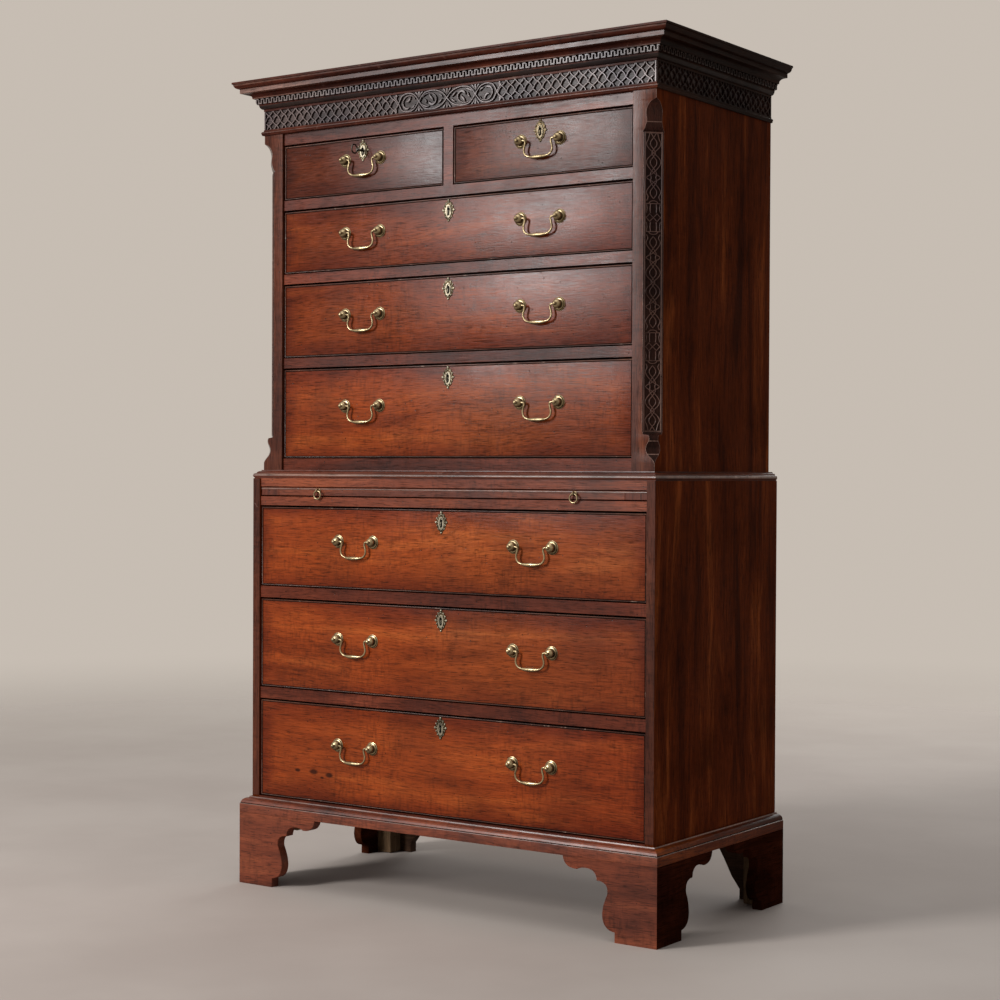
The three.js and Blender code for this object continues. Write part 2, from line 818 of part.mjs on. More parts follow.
function lowerCase() {
  const group = new THREE.Group();
  const sideBoards = { left: [-lowerHalf, -lowerInner], right: [lowerInner, lowerHalf] };
  for (const [hand, xs] of Object.entries(sideBoards)) {
    group.add(piece(`lower_side_${hand}`, board(xs, [0, lowerDepth], [footHeight, lowerTop]), 'case'));
  }
  const back = board([-lowerInner, lowerInner], [lowerBackFace, lowerDepth], [footHeight, lowerTop]);
  group.add(piece('lower_back', back, 'lining'));
  const top = board([-lowerInner, lowerInner], [lowerRailFront, lowerBackFace], [lowerTopBottom, lowerTop]);
  group.add(piece('lower_top', top, 'case'));
  group.add(piece('waist_moulding', waistMoulding(), 'moulding'));
  const slideRail = lowerShelf([slideRailBottom, slideFloor], lowerRailFront, dustboardThickness);
  group.add(piece('slide_rail', slideRail, 'case'));
  for (let index = 0; index + 1 < lowerBays.length; index += 1) {
    group.add(piece(`lower_rail_${index + 1}`, lowerRail(index), 'case'));
  }
  group.add(piece('lower_bottom', lowerShelf([footHeight, lowerFloor], 0, bottomBoardThickness), 'case'));
  group.add(piece('base_moulding', baseMoulding(), 'moulding'));
  for (const [hand, side] of [['left', -1], ['right', 1]]) {
    group.add(piece(`foot_front_${hand}`, foot(side, -1), 'moulding'));
    group.add(piece(`foot_rear_${hand}`, foot(side, 1), 'moulding'));
  }
  return group;
}

// Every drawer: where its opening is, how deep it is, and where its handles and lock are
function drawerList() {
  const drawers = [];
  lowerBays.forEach((bay, index) => drawers.push({
    name: `lower_drawer_${index + 1}`,
    x: 0,
    face: lowerFace,
    bottom: bay.bottom,
    height: bay.top - bay.bottom,
    width: 2 * lowerInner,
    depth: lowerDrawerDepth,
    postRise: lowerPostRises[index],
    handles: [-handleOffset, handleOffset],
    lockX: 0,
  }));
  upperBays.slice(0, -1).forEach((bay, index) => drawers.push({
    name: `upper_drawer_${index + 1}`,
    x: 0,
    face: upperFace,
    bottom: bay.bottom,
    height: bay.top - bay.bottom,
    width: 2 * upperOpeningHalf,
    depth: upperDrawerDepth,
    postRise: upperPostRises[index],
    handles: [-handleOffset, handleOffset],
    lockX: 0,
  }));
  const topBay = upperBays[upperBays.length - 1];
  const middle = (upperOpeningHalf + partitionWidth / 2) / 2;
  for (const [hand, side] of [['left', -1], ['right', 1]]) {
    drawers.push({
      name: `short_drawer_${hand}`,
      x: side * middle,
      face: upperFace,
      bottom: topBay.bottom,
      height: topBay.top - topBay.bottom,
      width: upperOpeningHalf - partitionWidth / 2,
      depth: upperDrawerDepth,
      postRise: upperPostRises[upperPostRises.length - 1],
      handles: [side * (handleOffset - middle)],
      lockX: side * (handleOffset - middle),
      keyed: side < 0,
    });
  }
  return drawers;
}

function drawerGroup(drawer) {
  const group = new THREE.Group();
  group.position.set(drawer.x, drawer.face, drawer.bottom);
  group.add(piece(`${drawer.name}_front`, drawerFront(drawer), 'front'));
  group.add(piece(`${drawer.name}_box`, drawerBox(drawer), 'lining'));
  drawer.handles.forEach((x, index) => {
    const hand = drawer.handles.length > 1 ? `_${['left', 'right'][index]}` : '';
    const mesh = piece(`${drawer.name}_bail${hand}`, bail(), 'brass');
    mesh.position.set(x, -hingeOut, drawer.postRise);
    group.add(mesh);
  });
  if (drawer.keyed) {
    const mesh = piece('key', key(), 'iron');
    mesh.position.set(drawer.lockX, 0, drawer.height - escutcheonDrop);
    group.add(mesh);
  }
  return group;
}

function slideGroup() {
  const group = new THREE.Group();
  group.position.set(0, slideFace, slideFloor);
  group.add(piece('brushing_slide', brushingSlide(), 'front'));
  // The ring's wire hangs on the lower edge of the eye's hole
  const slack = eyeRadius - eyeWireRadius - ringWireRadius - seatGap;
  for (const [hand, side] of [['left', -1], ['right', 1]]) {
    const mesh = piece(`ring_pull_${hand}`, ringPull(), 'brass');
    mesh.position.set(side * pullOffset, -eyeOut, slideOpening - slideTopGap - eyeDrop - slack);
    group.add(mesh);
  }
  return group;
}

const chest = new THREE.Group();
chest.add(upperCase());
chest.add(lowerCase());
chest.add(slideGroup());
for (const drawer of drawerList()) {
  chest.add(drawerGroup(drawer));
}
chest.position.y = -footprintMiddle;

export default chest;
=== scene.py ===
"""A mahogany chest on chest. Sizes are millimetres until place() turns them into metres.
x = 0 is in the middle, y = 0 on the front edges of the lower case and z = 0 on the floor."""
from itertools import product
from math import asin, cos, exp, hypot, pi, radians, sin, sqrt

import bmesh
import bpy
from mathutils import Matrix, Vector


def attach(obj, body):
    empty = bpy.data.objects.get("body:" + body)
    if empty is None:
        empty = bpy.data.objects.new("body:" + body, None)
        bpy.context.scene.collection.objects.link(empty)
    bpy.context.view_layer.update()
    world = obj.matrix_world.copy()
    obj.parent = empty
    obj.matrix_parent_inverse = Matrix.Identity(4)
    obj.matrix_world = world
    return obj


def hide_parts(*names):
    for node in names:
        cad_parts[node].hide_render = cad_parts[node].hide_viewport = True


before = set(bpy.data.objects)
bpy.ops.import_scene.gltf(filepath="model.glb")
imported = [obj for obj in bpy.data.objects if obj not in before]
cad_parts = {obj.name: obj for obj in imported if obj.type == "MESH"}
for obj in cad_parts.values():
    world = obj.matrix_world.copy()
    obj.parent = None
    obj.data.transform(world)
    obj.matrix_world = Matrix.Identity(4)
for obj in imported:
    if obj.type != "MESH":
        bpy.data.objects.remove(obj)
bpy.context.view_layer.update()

METRE = 1000
MIDDLE_Y = 237
HANDS = (("left", -1), ("right", 1))


def place(p):
    """A point of the chest in the frame, which has its y = 0 in the middle of the depth."""
    return (p[0] / METRE, (p[1] - MIDDLE_Y) / METRE, p[2] / METRE)


def turn(count):
    """The angles of count equal steps once round."""
    return [2 * pi * k / count for k in range(count)]


def scaled(values, share):
    return tuple(v * share for v in values)


def new_object(name, data):
    obj = bpy.data.objects.new(name, data)
    bpy.context.scene.collection.objects.link(obj)
    return obj


# Nodes of materials

def nodes_of(name):
    m = bpy.data.materials.new(name)
    m.use_nodes = True
    return m, m.node_tree, m.node_tree.nodes["Principled BSDF"]


def feed(nt, socket, value):
    """Links the socket where value is another node's output, and else sets it."""
    if isinstance(value, bpy.types.NodeSocket):
        nt.links.new(value, socket)
    else:
        socket.default_value = value


def fill(nt, n, **inputs):
    """Feeds the inputs of n, whose names have _ for each space here."""
    for name, value in inputs.items():
        feed(nt, n.inputs[name.replace("_", " ")], value)
    return n


def node(nt, kind, **inputs):
    return fill(nt, nt.nodes.new("ShaderNode" + kind), **inputs)


def ramp(nt, source, stops):
    """An eased ramp through stops (position, colour or grey)."""
    n = node(nt, "ValToRGB", Fac=source)
    n.color_ramp.interpolation = "EASE"
    elements = n.color_ramp.elements
    while len(elements) < len(stops):
        elements.new(0.5)
    for element, (position, c) in zip(elements, stops):
        element.position = position
        element.color = (*c, 1) if isinstance(c, tuple) else (c, c, c, 1)
    return n.outputs["Color"]


def mix(nt, kind, fac, a, b):
    n = node(nt, "Mix")
    n.data_type, n.blend_type = "RGBA", kind
    for k, value in ((0, fac), (6, a), (7, b)):
        feed(nt, n.inputs[k], (*value, 1) if isinstance(value, tuple) else value)
    return n.outputs[2]


def maths(nt, kind, a, b, clamp=False):
    n = node(nt, "Math")
    n.operation, n.use_clamp = kind, clamp
    feed(nt, n.inputs[0], a)
    feed(nt, n.inputs[1], b)
    return n.outputs[0]


def vectors(nt, kind, a, b=None):
    n = node(nt, "VectorMath")
    n.operation = kind
    feed(nt, n.inputs[0], a)
    if b:
        feed(nt, n.inputs[1], b)
    return n.outputs["Value" if kind == "LENGTH" else "Vector"]


def swing(nt, value, amount):
    """How far value is from 0.5, times amount."""
    return maths(nt, "MULTIPLY", maths(nt, "SUBTRACT", value, 0.5), amount)


def along(nt, grain, seed):
    """Object coordinates as they are, and with the grain as the first one and moved by the seed."""
    still = node(nt, "TexCoord").outputs["Object"]
    at = node(nt, "SeparateXYZ", Vector=still).outputs
    first, second, third = {"X": "XYZ", "Y": "YXZ", "Z": "ZXY"}[grain]
    turned = node(nt, "CombineXYZ", X=at[first], Y=at[second], Z=at[third]).outputs[0]
    return still, vectors(nt, "ADD", turned, (seed * 3.71, seed * 1.37, seed * 2.13))


def noise(nt, vector, scale, detail=3, rough=0.55, distort=0):
    m = node(nt, "Mapping", Vector=vector, Scale=scale if isinstance(scale, tuple) else (scale,) * 3)
    return node(nt, "TexNoise", Vector=m.outputs[0], Scale=1, Detail=detail, Roughness=rough,
                Distortion=distort).outputs["Fac"]


WHITE = (1, 1, 1)
# The second colour darkens a front towards its edges, the third at its left end; the plain ends are painted
# shade at its right
VEIL, EDGE_DARKENING, LEFT_TINT = (0.62, 0.66, 0.8), (0.55, 0.44, 0.5), (0.92, 0.9, 0.92)
PAINTED_SHADE_ENDS = ((1, 0.98, 1), (0.8, 0.72, 0.86))


def wood(name, grain, tones, seed=0, rough=0.38, spec=0.12, streaks=1, specks=1, blotch=0.35, mottle=0.12,
         cool=1, bump=0.3, worn=None, field=None, ends=PAINTED_SHADE_ENDS, marks=()):
    """Old polished wood: broad figure, fine dashes, cross mottle, blotches, a cool veil and small dark dents.
    tones are its dark, middle and light colour in thousandths. worn is the colour of rubbed spots and their
    share. A field (x0, x1, z0, z1) is darker towards its edges and at its left end, and takes on the two tints
    of ends towards its right, which are painted sheen and painted shade. marks are dark knots (x, z, half
    height)."""
    m, nt, bsdf = nodes_of(name)
    dark, mid, light = (scaled(tone, 0.001) for tone in tones)
    still, vec = along(nt, grain, seed)
    wave = swing(nt, noise(nt, vec, (1.7, 5, 5), 2), 0.048)
    vec = vectors(nt, "ADD", vec, node(nt, "CombineXYZ", Y=wave, Z=wave).outputs[0])
    figure = noise(nt, vec, (1.8, 22, 22), 6, 0.62, 0.5)
    streak = noise(nt, vec, (16, 330, 330), 4, 0.68)
    dash = noise(nt, vec, (34, 560, 560), 2, 0.6)
    cross = noise(nt, vec, (150, 42, 42), 2, 0.6)
    patch = noise(nt, still, 4.2, 4, 0.6)
    zone = noise(nt, still, 7.5, 3, 0.6)
    colour = ramp(nt, figure, [(0.32, dark), (0.5, mid), (0.68, light)])

    def tinted(source, stops, strength=1):
        return mix(nt, "MULTIPLY", strength, colour, ramp(nt, source, stops))
    uneven = ramp(nt, zone, [(0.4, 0.15), (0.62, 1)])
    colour = tinted(streak, [(0.3, 1 - 0.4 * streaks), (0.5, 1), (0.72, 1 + 0.26 * streaks)])
    colour = tinted(dash, [(0.34, 1 - 0.52 * streaks), (0.46, 1), (0.78, 1 + 0.15 * streaks)])
    colour = tinted(cross, [(0.34, 1 - 2.4 * mottle), (0.5, 1), (0.7, 1 + mottle)], uneven)
    colour = tinted(patch, [(0.3, 1 - blotch), (0.5, 1), (0.75, 1 + blotch * 0.5)])
    colour = tinted(noise(nt, still, 5.3, 4, 0.65), [(0.45, WHITE), (0.66, VEIL)], cool)
    cells = node(nt, "TexVoronoi", Vector=still, Scale=58)
    first = 0.5 - 0.06 * specks
    pick = ramp(nt, noise(nt, still, 27, 2), [(first, 0), (first + 0.06, min(specks, 1))])
    dents = maths(nt, "MULTIPLY", pick, ramp(nt, cells.outputs["Distance"], [(0.055, 1), (0.11, 0)]))
    colour = mix(nt, "MIX", maths(nt, "MULTIPLY", dents, 0.85), colour, scaled(dark, 0.15))
    if worn:
        rubbed, share = worn
        rub = ramp(nt, noise(nt, still, 38, 4, 0.7), [(0.62 - share * 0.3, 0), (0.74 - share * 0.2, 1)])
        colour = mix(nt, "MIX", rub, colour, scaled(rubbed, 0.001))
    if field:
        x0, x1, z0, z1 = scaled(field, 1 / METRE)
        at = node(nt, "SeparateXYZ", Vector=still).outputs
        left, right, low, high = [maths(nt, "SUBTRACT", a, b) for a, b in
                                  ((at["X"], x0), (x1, at["X"]), (at["Z"], z0), (z1, at["Z"]))]
        near = maths(nt, "MINIMUM", maths(nt, "MINIMUM", left, right), maths(nt, "MINIMUM", low, high))
        # Darker towards the field's edges and at its left end, with the painted sheen and shade of ends towards
        # its right
        colour = tinted(maths(nt, "ADD", near, swing(nt, zone, 0.07)), [(0, EDGE_DARKENING), (0.055, WHITE)])
        colour = tinted(maths(nt, "DIVIDE", left, x1 - x0, True),
                        [(0, LEFT_TINT), (0.28, WHITE), (0.62, ends[0]), (0.92, ends[1])])
    for x, z, r in marks:
        gap = vectors(nt, "SUBTRACT", still, (x / METRE, 0, z / METRE))
        far = vectors(nt, "LENGTH", vectors(nt, "MULTIPLY", gap, (0.48 * METRE / r, 0, METRE / r)))
        knot = ramp(nt, maths(nt, "DIVIDE", far, 3), [(0.2, 0.9), (0.5, 0)])
        colour = mix(nt, "MIX", knot, colour, scaled(dark, 0.12))
    gloss = ramp(nt, patch, [(0.3, rough + 0.07), (0.7, rough - 0.04)])
    swell = maths(nt, "MULTIPLY", noise(nt, still, 9, 2), 3)
    height = maths(nt, "ADD", maths(nt, "MULTIPLY", dash, 0.7), swell)
    height = maths(nt, "SUBTRACT", height, maths(nt, "MULTIPLY", dents, 0.8))
    relief = node(nt, "Bump", Strength=bump, Distance=0.0006, Height=height)
    fill(nt, bsdf, Base_Color=colour, Roughness=maths(nt, "ADD", gloss, swing(nt, dash, 0.3)),
         Specular_IOR_Level=spec, Normal=relief.outputs[0])
    return m


def metal(name, bright, dull, rough, metallic=1):
    """Aged metal: bright where rubbed, dull and rougher in patches, with painted shade on its undersides."""
    m, nt, bsdf = nodes_of(name)
    still = node(nt, "TexCoord").outputs["Object"]
    fine, broad = (noise(nt, still, scale, 3, 0.6) for scale in (420, 75))
    both = maths(nt, "ADD", maths(nt, "MULTIPLY", fine, 0.3), maths(nt, "MULTIPLY", broad, 0.7))
    # Painted shade: the colour darkens as the surface turns to face down
    facing = node(nt, "SeparateXYZ", Vector=node(nt, "NewGeometry").outputs["Normal"])
    up = maths(nt, "ADD", maths(nt, "MULTIPLY", facing.outputs["Z"], 0.5), 0.5)
    underside_shade = ramp(nt, up, [(0.1, (0.28, 0.25, 0.22)), (0.42, (0.78, 0.76, 0.72)), (0.62, WHITE)])
    colour = ramp(nt, both, [(0.3, scaled(dull, 0.001)), (0.6, scaled(bright, 0.001))])
    relief = node(nt, "Bump", Strength=0.03, Distance=0.0002, Height=fine)
    fill(nt, bsdf, Base_Color=mix(nt, "MULTIPLY", 1, colour, underside_shade), Metallic=metallic,
         Roughness=ramp(nt, both, [(0.3, rough + 0.2), (0.6, rough)]), Normal=relief.outputs[0])
    return m


# Mesh building

def neighbours(points, closed):
    """Pairs of the points before and after each one."""
    n = len(points)
    return [(points[i - 1 if closed or i else 0], points[(i + 1) % n if closed else min(i + 1, n - 1)])
            for i in range(n)]


class Part:
    """Vertices and faces of one piece, in millimetres, with the number of each face's material."""

    def __init__(self):
        self.v, self.f, self.m = [], [], []

    def add(self, verts, faces, mats):
        first = len(self.v)
        self.v += [tuple(p) for p in verts]
        self.f += [[first + k for k in face] for face in faces]
        self.m += mats

    def box(self, lo, hi, mat, c):
        """A block whose edges are chamfered by c."""
        verts, index, faces = [], {}, []
        corners = list(product((0, 1), repeat=3))
        for corner in corners:
            for flat in range(3):
                index[corner, flat] = len(verts)
                verts.append([(lo, hi)[end][a] + (0 if a == flat else c * (1 - 2 * end))
                              for a, end in enumerate(corner)])
            faces.append([index[corner, flat] for flat in range(3)])
        for a in range(3):
            for end in (0, 1):
                side = [corner for corner in corners if corner[a] == end]
                faces.append([index[side[k], a] for k in (0, 1, 3, 2)])
            b, d = (a + 1) % 3, (a + 2) % 3
            for near in corners:
                if near[a] == 0:
                    far = tuple(1 if k == a else end for k, end in enumerate(near))
                    faces.append([index[near, b], index[far, b], index[far, d], index[near, d]])
        self.add(verts, faces, [mat] * len(faces))

    def loft(self, rings, mat=0, caps=True, cap_mat=None):
        """Skins rings of points. mat may be a function of ring and strip. cap_mat is a pair for the ends."""
        n, last = len(rings[0]), len(rings) - 1
        faces, mats = [], []
        for r, i in product(range(last), range(n)):
            j = (i + 1) % n
            faces.append((r * n + i, r * n + j, (r + 1) * n + j, (r + 1) * n + i))
            mats.append(mat(r, i) if callable(mat) else mat)
        if caps:
            faces += [tuple(range(n))[::-1], tuple(range(last * n, (last + 1) * n))]
            mats += cap_mat or (mats[0], mats[0])
        self.add([p for ring in rings for p in ring], faces, mats)

    def lathe(self, profile, at, out=(0, -1, 0), sides=12, mat=0):
        """Turns (radius, distance) points about the line through at along out."""
        axis = Vector(out)
        u = axis.orthogonal().normalized()
        w = axis.cross(u)
        self.loft([[Vector(at) + axis * d + (u * cos(t) + w * sin(t)) * max(r, 0.001) for t in turn(sides)]
                   for r, d in profile], mat)

    def tube(self, points, radius, sides, closed=False):
        """radius may be a function of the point's number."""
        pts = [Vector(p) for p in points]
        rings, u = [], None
        for i, (a, b) in enumerate(neighbours(pts, closed)):
            t = (b - a).normalized()
            u = (t.orthogonal() if u is None else u - t * u.dot(t)).normalized()
            w = t.cross(u)
            r = radius(i) if callable(radius) else radius
            rings.append([pts[i] + (u * cos(s) + w * sin(s)) * r for s in turn(sides)])
        self.loft(rings + rings[:1] if closed else rings, caps=not closed)

    def strap(self, points, width, base, top, to, mats=(0, 1), closed=False, chamfer=0.35, flare=0):
        """A flat strap along points (u, v), from height base to top, put in space by to(u, v, h).
        Points may bring their own width as a third value. mats are those of the sides and of the crest.
        The foot is flare wider than the crest at each side."""
        rings = []
        for (u, v, *own), (a, b) in zip(points, neighbours(points, closed)):
            du, dv = b[0] - a[0], b[1] - a[1]
            size = hypot(du, dv) or 1
            nu, nv = -dv / size, du / size
            h = (own[0] if own else width) / 2
            flat = max(h - chamfer, 0.3 * h)
            rings.append([to(u + nu * out, v + nv * out, height) for out, height in (
                (-h - flare, base), (-h, top - chamfer), (-flat, top),
                (flat, top), (h, top - chamfer), (h + flare, base))])
        self.loft(rings + rings[:1] if closed else rings, lambda r, i: mats[0 < i < 4], caps=not closed)

    def run(self, profile, half, front, back, tags, ratio=1, side_tags=None):
        """A moulding mitred round the front (material 0) and both sides (material 1), with a profile (out, z).
        tags give single strips another material, and side_tags do so where the sides differ."""
        rings = [[(s * (half + o * ratio), back if at_back else front - o, z) for o, z in profile]
                 for s, at_back in ((-1, True), (-1, False), (1, False), (1, True))]
        side_tags = side_tags or tags
        self.loft(rings, lambda r, i: tags.get(i, 0) if r == 1 else side_tags.get(i, 1), cap_mat=(1, 1))


def make(name, part, mats, body, stands_for=(), angle=35):
    """The object of a part. Its edges are sharp above angle, and it stands for nodes of the frame."""
    mesh = bpy.data.meshes.new(name)
    mesh.from_pydata([place(p) for p in part.v], [], part.f)
    for m in mats:
        mesh.materials.append(m)
    mesh.polygons.foreach_set("material_index", part.m)
    mesh.validate()
    bm = bmesh.new()
    bm.from_mesh(mesh)
    bmesh.ops.recalc_face_normals(bm, faces=bm.faces)
    bm.to_mesh(mesh)
    bm.free()
    mesh.shade_smooth()
    mesh.set_sharp_from_angle(angle=radians(angle))
    obj = new_object(name, mesh)
    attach(obj, body)
    if stands_for:
        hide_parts(*stands_for)


def curve(points, steps):
    """A smooth line through points, with steps pieces between each two."""
    result = []
    last = len(points) - 1
    for i in range(last):
        around = [points[k] for k in (max(i - 1, 0), i, i + 1, min(i + 2, last))]
        for t in (k / steps for k in range(steps)):
            result.append(tuple(0.5 * (2 * b + (c - a) * t + (2 * a - 5 * b + 4 * c - d) * t * t +
                                       (3 * b - a - 3 * c + d) * t ** 3) for a, b, c, d in zip(*around)))
    return result + [tuple(points[-1])]


def arc(cx, cz, rx, rz, angles):
    """Points of an ellipse about (cx, cz)."""
    return [(cx + rx * cos(a), cz + rz * sin(a)) for a in angles]


# Woods and metals of this chest, with colours in thousandths

RED = ((175, 27, 4), (258, 44, 7), (345, 70, 12))
DEEP = ((62, 14, 7), (115, 26, 12), (180, 44, 19))
BASE = ((85, 18, 8), (165, 36, 15), (240, 58, 23))
SIDE = ((45, 8, 2), (105, 19, 4), (240, 55, 12))
SHADE = ((18, 5, 2), (38, 9, 4), (70, 18, 8))
OAK = ((230, 118, 52), (360, 200, 94), (470, 285, 145))
PINE = ((160, 85, 42), (260, 148, 76), (350, 215, 115))
PINE_2 = ((130, 67, 33), (215, 118, 60), (295, 175, 93))
SIDE_LOOK = dict(rough=0.45, spec=0.008, mottle=0.05, specks=0.4, cool=0.3)
OAK_LOOK = dict(rough=0.7, bump=0.5, blotch=0.22, mottle=0.02, cool=0.25)
PINE_LOOK = dict(rough=0.8, bump=0.7, blotch=0.3, mottle=0.02, cool=0.45)

stile = wood("wood_stile", "Z", ((46, 12, 6.5), (86, 22.5, 11), (135, 38, 17)), seed=1.3, rough=0.3, spec=0.14)
side_wood = wood("wood_side", "Z", SIDE, seed=2.1, **SIDE_LOOK)
side_wood_2 = wood("wood_side_2", "Z", SIDE, seed=5.7, **SIDE_LOOK)
rail_wood = wood("wood_rail", "X", ((52, 11, 6), (104, 21, 9.5), (175, 38, 17)), seed=3.3, rough=0.28,
                 spec=0.155, specks=1.3)
cornice_x = wood("wood_cornice", "X", ((32, 7, 4), (65, 15, 8), (120, 29, 13)), seed=4.1, rough=0.35,
                 spec=0.055, worn=((150, 70, 50), 0.03))
# A much darker copy for the sides of the cornice and the frieze: painted shade
cornice_y = wood("wood_cornice_y", "Y", ((8, 2.6, 1.3), (19, 6.2, 3), (36, 12.5, 5.8)), seed=4.3, rough=0.42,
                 spec=0.03)
waist_x = wood("wood_waist", "X", DEEP, seed=4.4, rough=0.31, spec=0.24, worn=((240, 120, 90), 0.05))
bright_rail = wood("wood_slide_rail", "X", BASE, seed=3.8, rough=0.29, spec=0.24)
mould_y = wood("wood_moulding_y", "Y", SIDE, seed=4.9, rough=0.4, spec=0.05)
base_x = wood("wood_base_x", "X", BASE, seed=6.2, rough=0.33, spec=0.3)
foot_x = wood("wood_foot_x", "X", BASE, seed=6.8, rough=0.36, spec=0.26, blotch=0.4)
# The feet's sides are the base wood darkened: painted shade
foot_y = wood("wood_foot_y", "Y", SHADE, seed=7.4, rough=0.55, spec=0, blotch=0.5)
# Light edge woods for crests, edges and beads: wear with painted highlights
trim = wood("wood_cornice_edge", "X", ((50, 18, 12), (110, 45, 30), (220, 110, 80)), seed=8.6, rough=0.32,
            spec=0.22, blotch=0.6)
edge = wood("wood_worn_highlit_edge", "X", ((80, 32, 22), (190, 95, 68), (360, 220, 170)), seed=8.2, rough=0.3,
            spec=0.45, blotch=0.6)
# Near-black wood for grooves, quirks and the edges of the drawer fronts in their gaps: painted shade
groove_shade = wood("wood_shade_in_grooves", "X", ((6, 3, 2), (10, 5, 3), (16, 8, 5)), seed=9.1, rough=0.7, spec=0.05)
# Carved crests and dentils are lighter copies of the carved wood: painted highlight
crest = wood("wood_carved_crest", "X", ((70, 44, 39), (170, 121, 110), (340, 262, 245)), seed=10.9, rough=0.3,
             spec=0.28, streaks=0.4)
ground = wood("wood_carved_ground", "X", ((23, 11, 9), (46, 27, 23), (82, 53, 46)), seed=11, rough=0.34,
              spec=0.13, blotch=0.5)
dentil = wood("wood_dentil", "X", ((60, 38, 33), (140, 100, 90), (280, 220, 200)), seed=10.7, rough=0.32,
              spec=0.25, streaks=0.4)
carved_z = wood("wood_post_carved", "Z", ((16, 6, 4), (32, 13, 9), (55, 25, 17)), seed=11.4, rough=0.4,
                spec=0.06)
# The crests of the posts' fret: painted highlight
crest_z = wood("wood_post_crest", "Z", ((60, 26, 18), (135, 68, 50), (250, 145, 110)), seed=11.8, rough=0.32,
               spec=0.13, streaks=0.4)
# A darker copy for the carving on the case's sides: painted shade
carved_y = wood("wood_side_crest", "Y", ((15, 6, 4), (30, 13, 9), (54, 26, 18)), seed=11.6, rough=0.38,
                spec=0.08)
groove = wood("wood_shadowed", "X", ((14, 8, 6), (26, 15, 12), (40, 24, 19)), seed=11.9, rough=0.5, spec=0.08)
# The lamb's tongues are darker than the stiles: partly their own tone, partly painted shade
tongue = wood("wood_tongue", "Z", ((18, 5, 3), (36, 10, 6), (66, 20, 12)), seed=12.6, rough=0.26, spec=0.13,
              specks=0.4)
bead_wood = wood("wood_bead", "X", ((45, 15, 9), (85, 30, 18), (150, 60, 36)), seed=12.2, rough=0.33, spec=0.2,
                 worn=((320, 210, 160), 0.13))
oak_x = wood("oak_x", "X", OAK, seed=13.1, **OAK_LOOK)
oak_y = wood("oak_y", "Y", OAK, seed=14.2, **OAK_LOOK)
pine_x = wood("pine_x", "X", PINE, seed=15.5, **PINE_LOOK)
pine_2 = wood("pine_2", "X", PINE_2, seed=19.4, **PINE_LOOK)
pine_z = wood("pine_z", "Z", PINE, seed=16.6, **PINE_LOOK)
stained = wood("pine_stained", "X", ((30, 14, 8), (60, 30, 17), (100, 55, 30)), seed=17.3, rough=0.7,
               spec=0.06, bump=0.6)
block = wood("pine_block", "Z", ((90, 52, 27), (150, 92, 50), (220, 145, 85)), seed=18.1, rough=0.8, spec=0.06,
             bump=0.7)
# Near-black for the inside of the keyhole: painted shade
hole = wood("keyhole_shade", "X", ((2, 2, 2), (4, 3, 3), (6, 5, 4)), rough=0.9, spec=0)
brass = metal("brass_aged", (450, 350, 200), (160, 115, 60), 0.27, 0.8)
brass_dull = metal("brass_dull", (100, 72, 38), (35, 26, 15), 0.38)
brass_dark = metal("brass_dark", (170, 140, 95), (45, 36, 25), 0.44)
brass_pale = metal("brass_pale", (330, 295, 225), (70, 60, 45), 0.4)
iron = metal("iron_dark", (110, 100, 90), (45, 35, 30), 0.42)

# Levels and faces, as in the solids

LOWER, LOWER_IN = 520, 500  # half widths of the lower case, over and between its sides
UPPER, UPPER_IN, POST_IN = 506, 486, 453  # those of the upper case, and between its posts
BACK, UPPER_BACK, POST_BACK = 507, 495, 64
LOWER_FACE, UPPER_FACE, POST_FRONT = 5.5, 26.5, 19
CASE_LOW, WAIST, FRIEZE_LOW, CORNICE_LOW, CORNICE_TOP = 158, 902, 1664, 1722, 1780
FRAME_Y = (475.5, 494.8)  # the pine boards behind frieze and cornice

# Cases: the carried-over boards

for nodes, material in (
    (("upper_side_left", "upper_side_right"), side_wood),
    (("upper_bottom", "upper_top", "upper_rail_1", "upper_rail_2", "upper_rail_3", "lower_rail_1",
      "lower_rail_2", "lower_bottom"), rail_wood),
    (("slide_rail", "lower_top"), bright_rail),
):
    for name in nodes:
        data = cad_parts[name].data
        data.materials.clear()
        data.materials.append(material)

# Lower sides, each of two boards with a fine joint

JOINT = (421.8, 422.3)
SCRATCH = [(-515, 847), (-508, 838)]
for hand, s in HANDS:
    x0, x1 = sorted((s * LOWER_IN, s * LOWER))
    p = Part()
    p.box((x0, 0, CASE_LOW), (x1, JOINT[0], WAIST), 0, 0.6)
    p.box((x0, JOINT[1], CASE_LOW), (x1, BACK, WAIST), 1, 0.6)
    make(f"lower_side_boards_{hand}", p, [side_wood, side_wood_2], "case", (f"lower_side_{hand}",))
    p = Part()
    p.box((x0 + 0.3, -0.35, 196), (x1 - 0.3, 1.5, WAIST - 0.4), 0, 0.5)
    if s < 0:
        p.strap(SCRATCH, 1.3, 0, 0.45, lambda u, v, h: (u, -h, v), (1, 1))
    make(f"lower_stile_{hand}", p, [stile, edge], "case")

# Backs of planks, nailed at their ends


def planks(name, half, y0, y1, z0, z1, count, replaced):
    """Boards one over the other with open joints, each nailed twice at both ends."""
    p = Part()
    step = (z1 - z0) / count
    gap = 0.8
    for k in range(count):
        p.box((-half, y0, z0 + k * step + gap), (half, y1, z0 + (k + 1) * step - gap), 2 * (k % 2), 2)
        for s, share in product((-1, 1), (0.2, 0.8)):
            p.lathe([(0, 0.25), (2.6, 0.2), (3, -0.4), (3, -1)],
                    (s * (half - 11), y1, z0 + (k + share) * step), (0, 1, 0), 10, 1)
    make(name, p, [pine_x, iron, pine_2], "case", (replaced,))


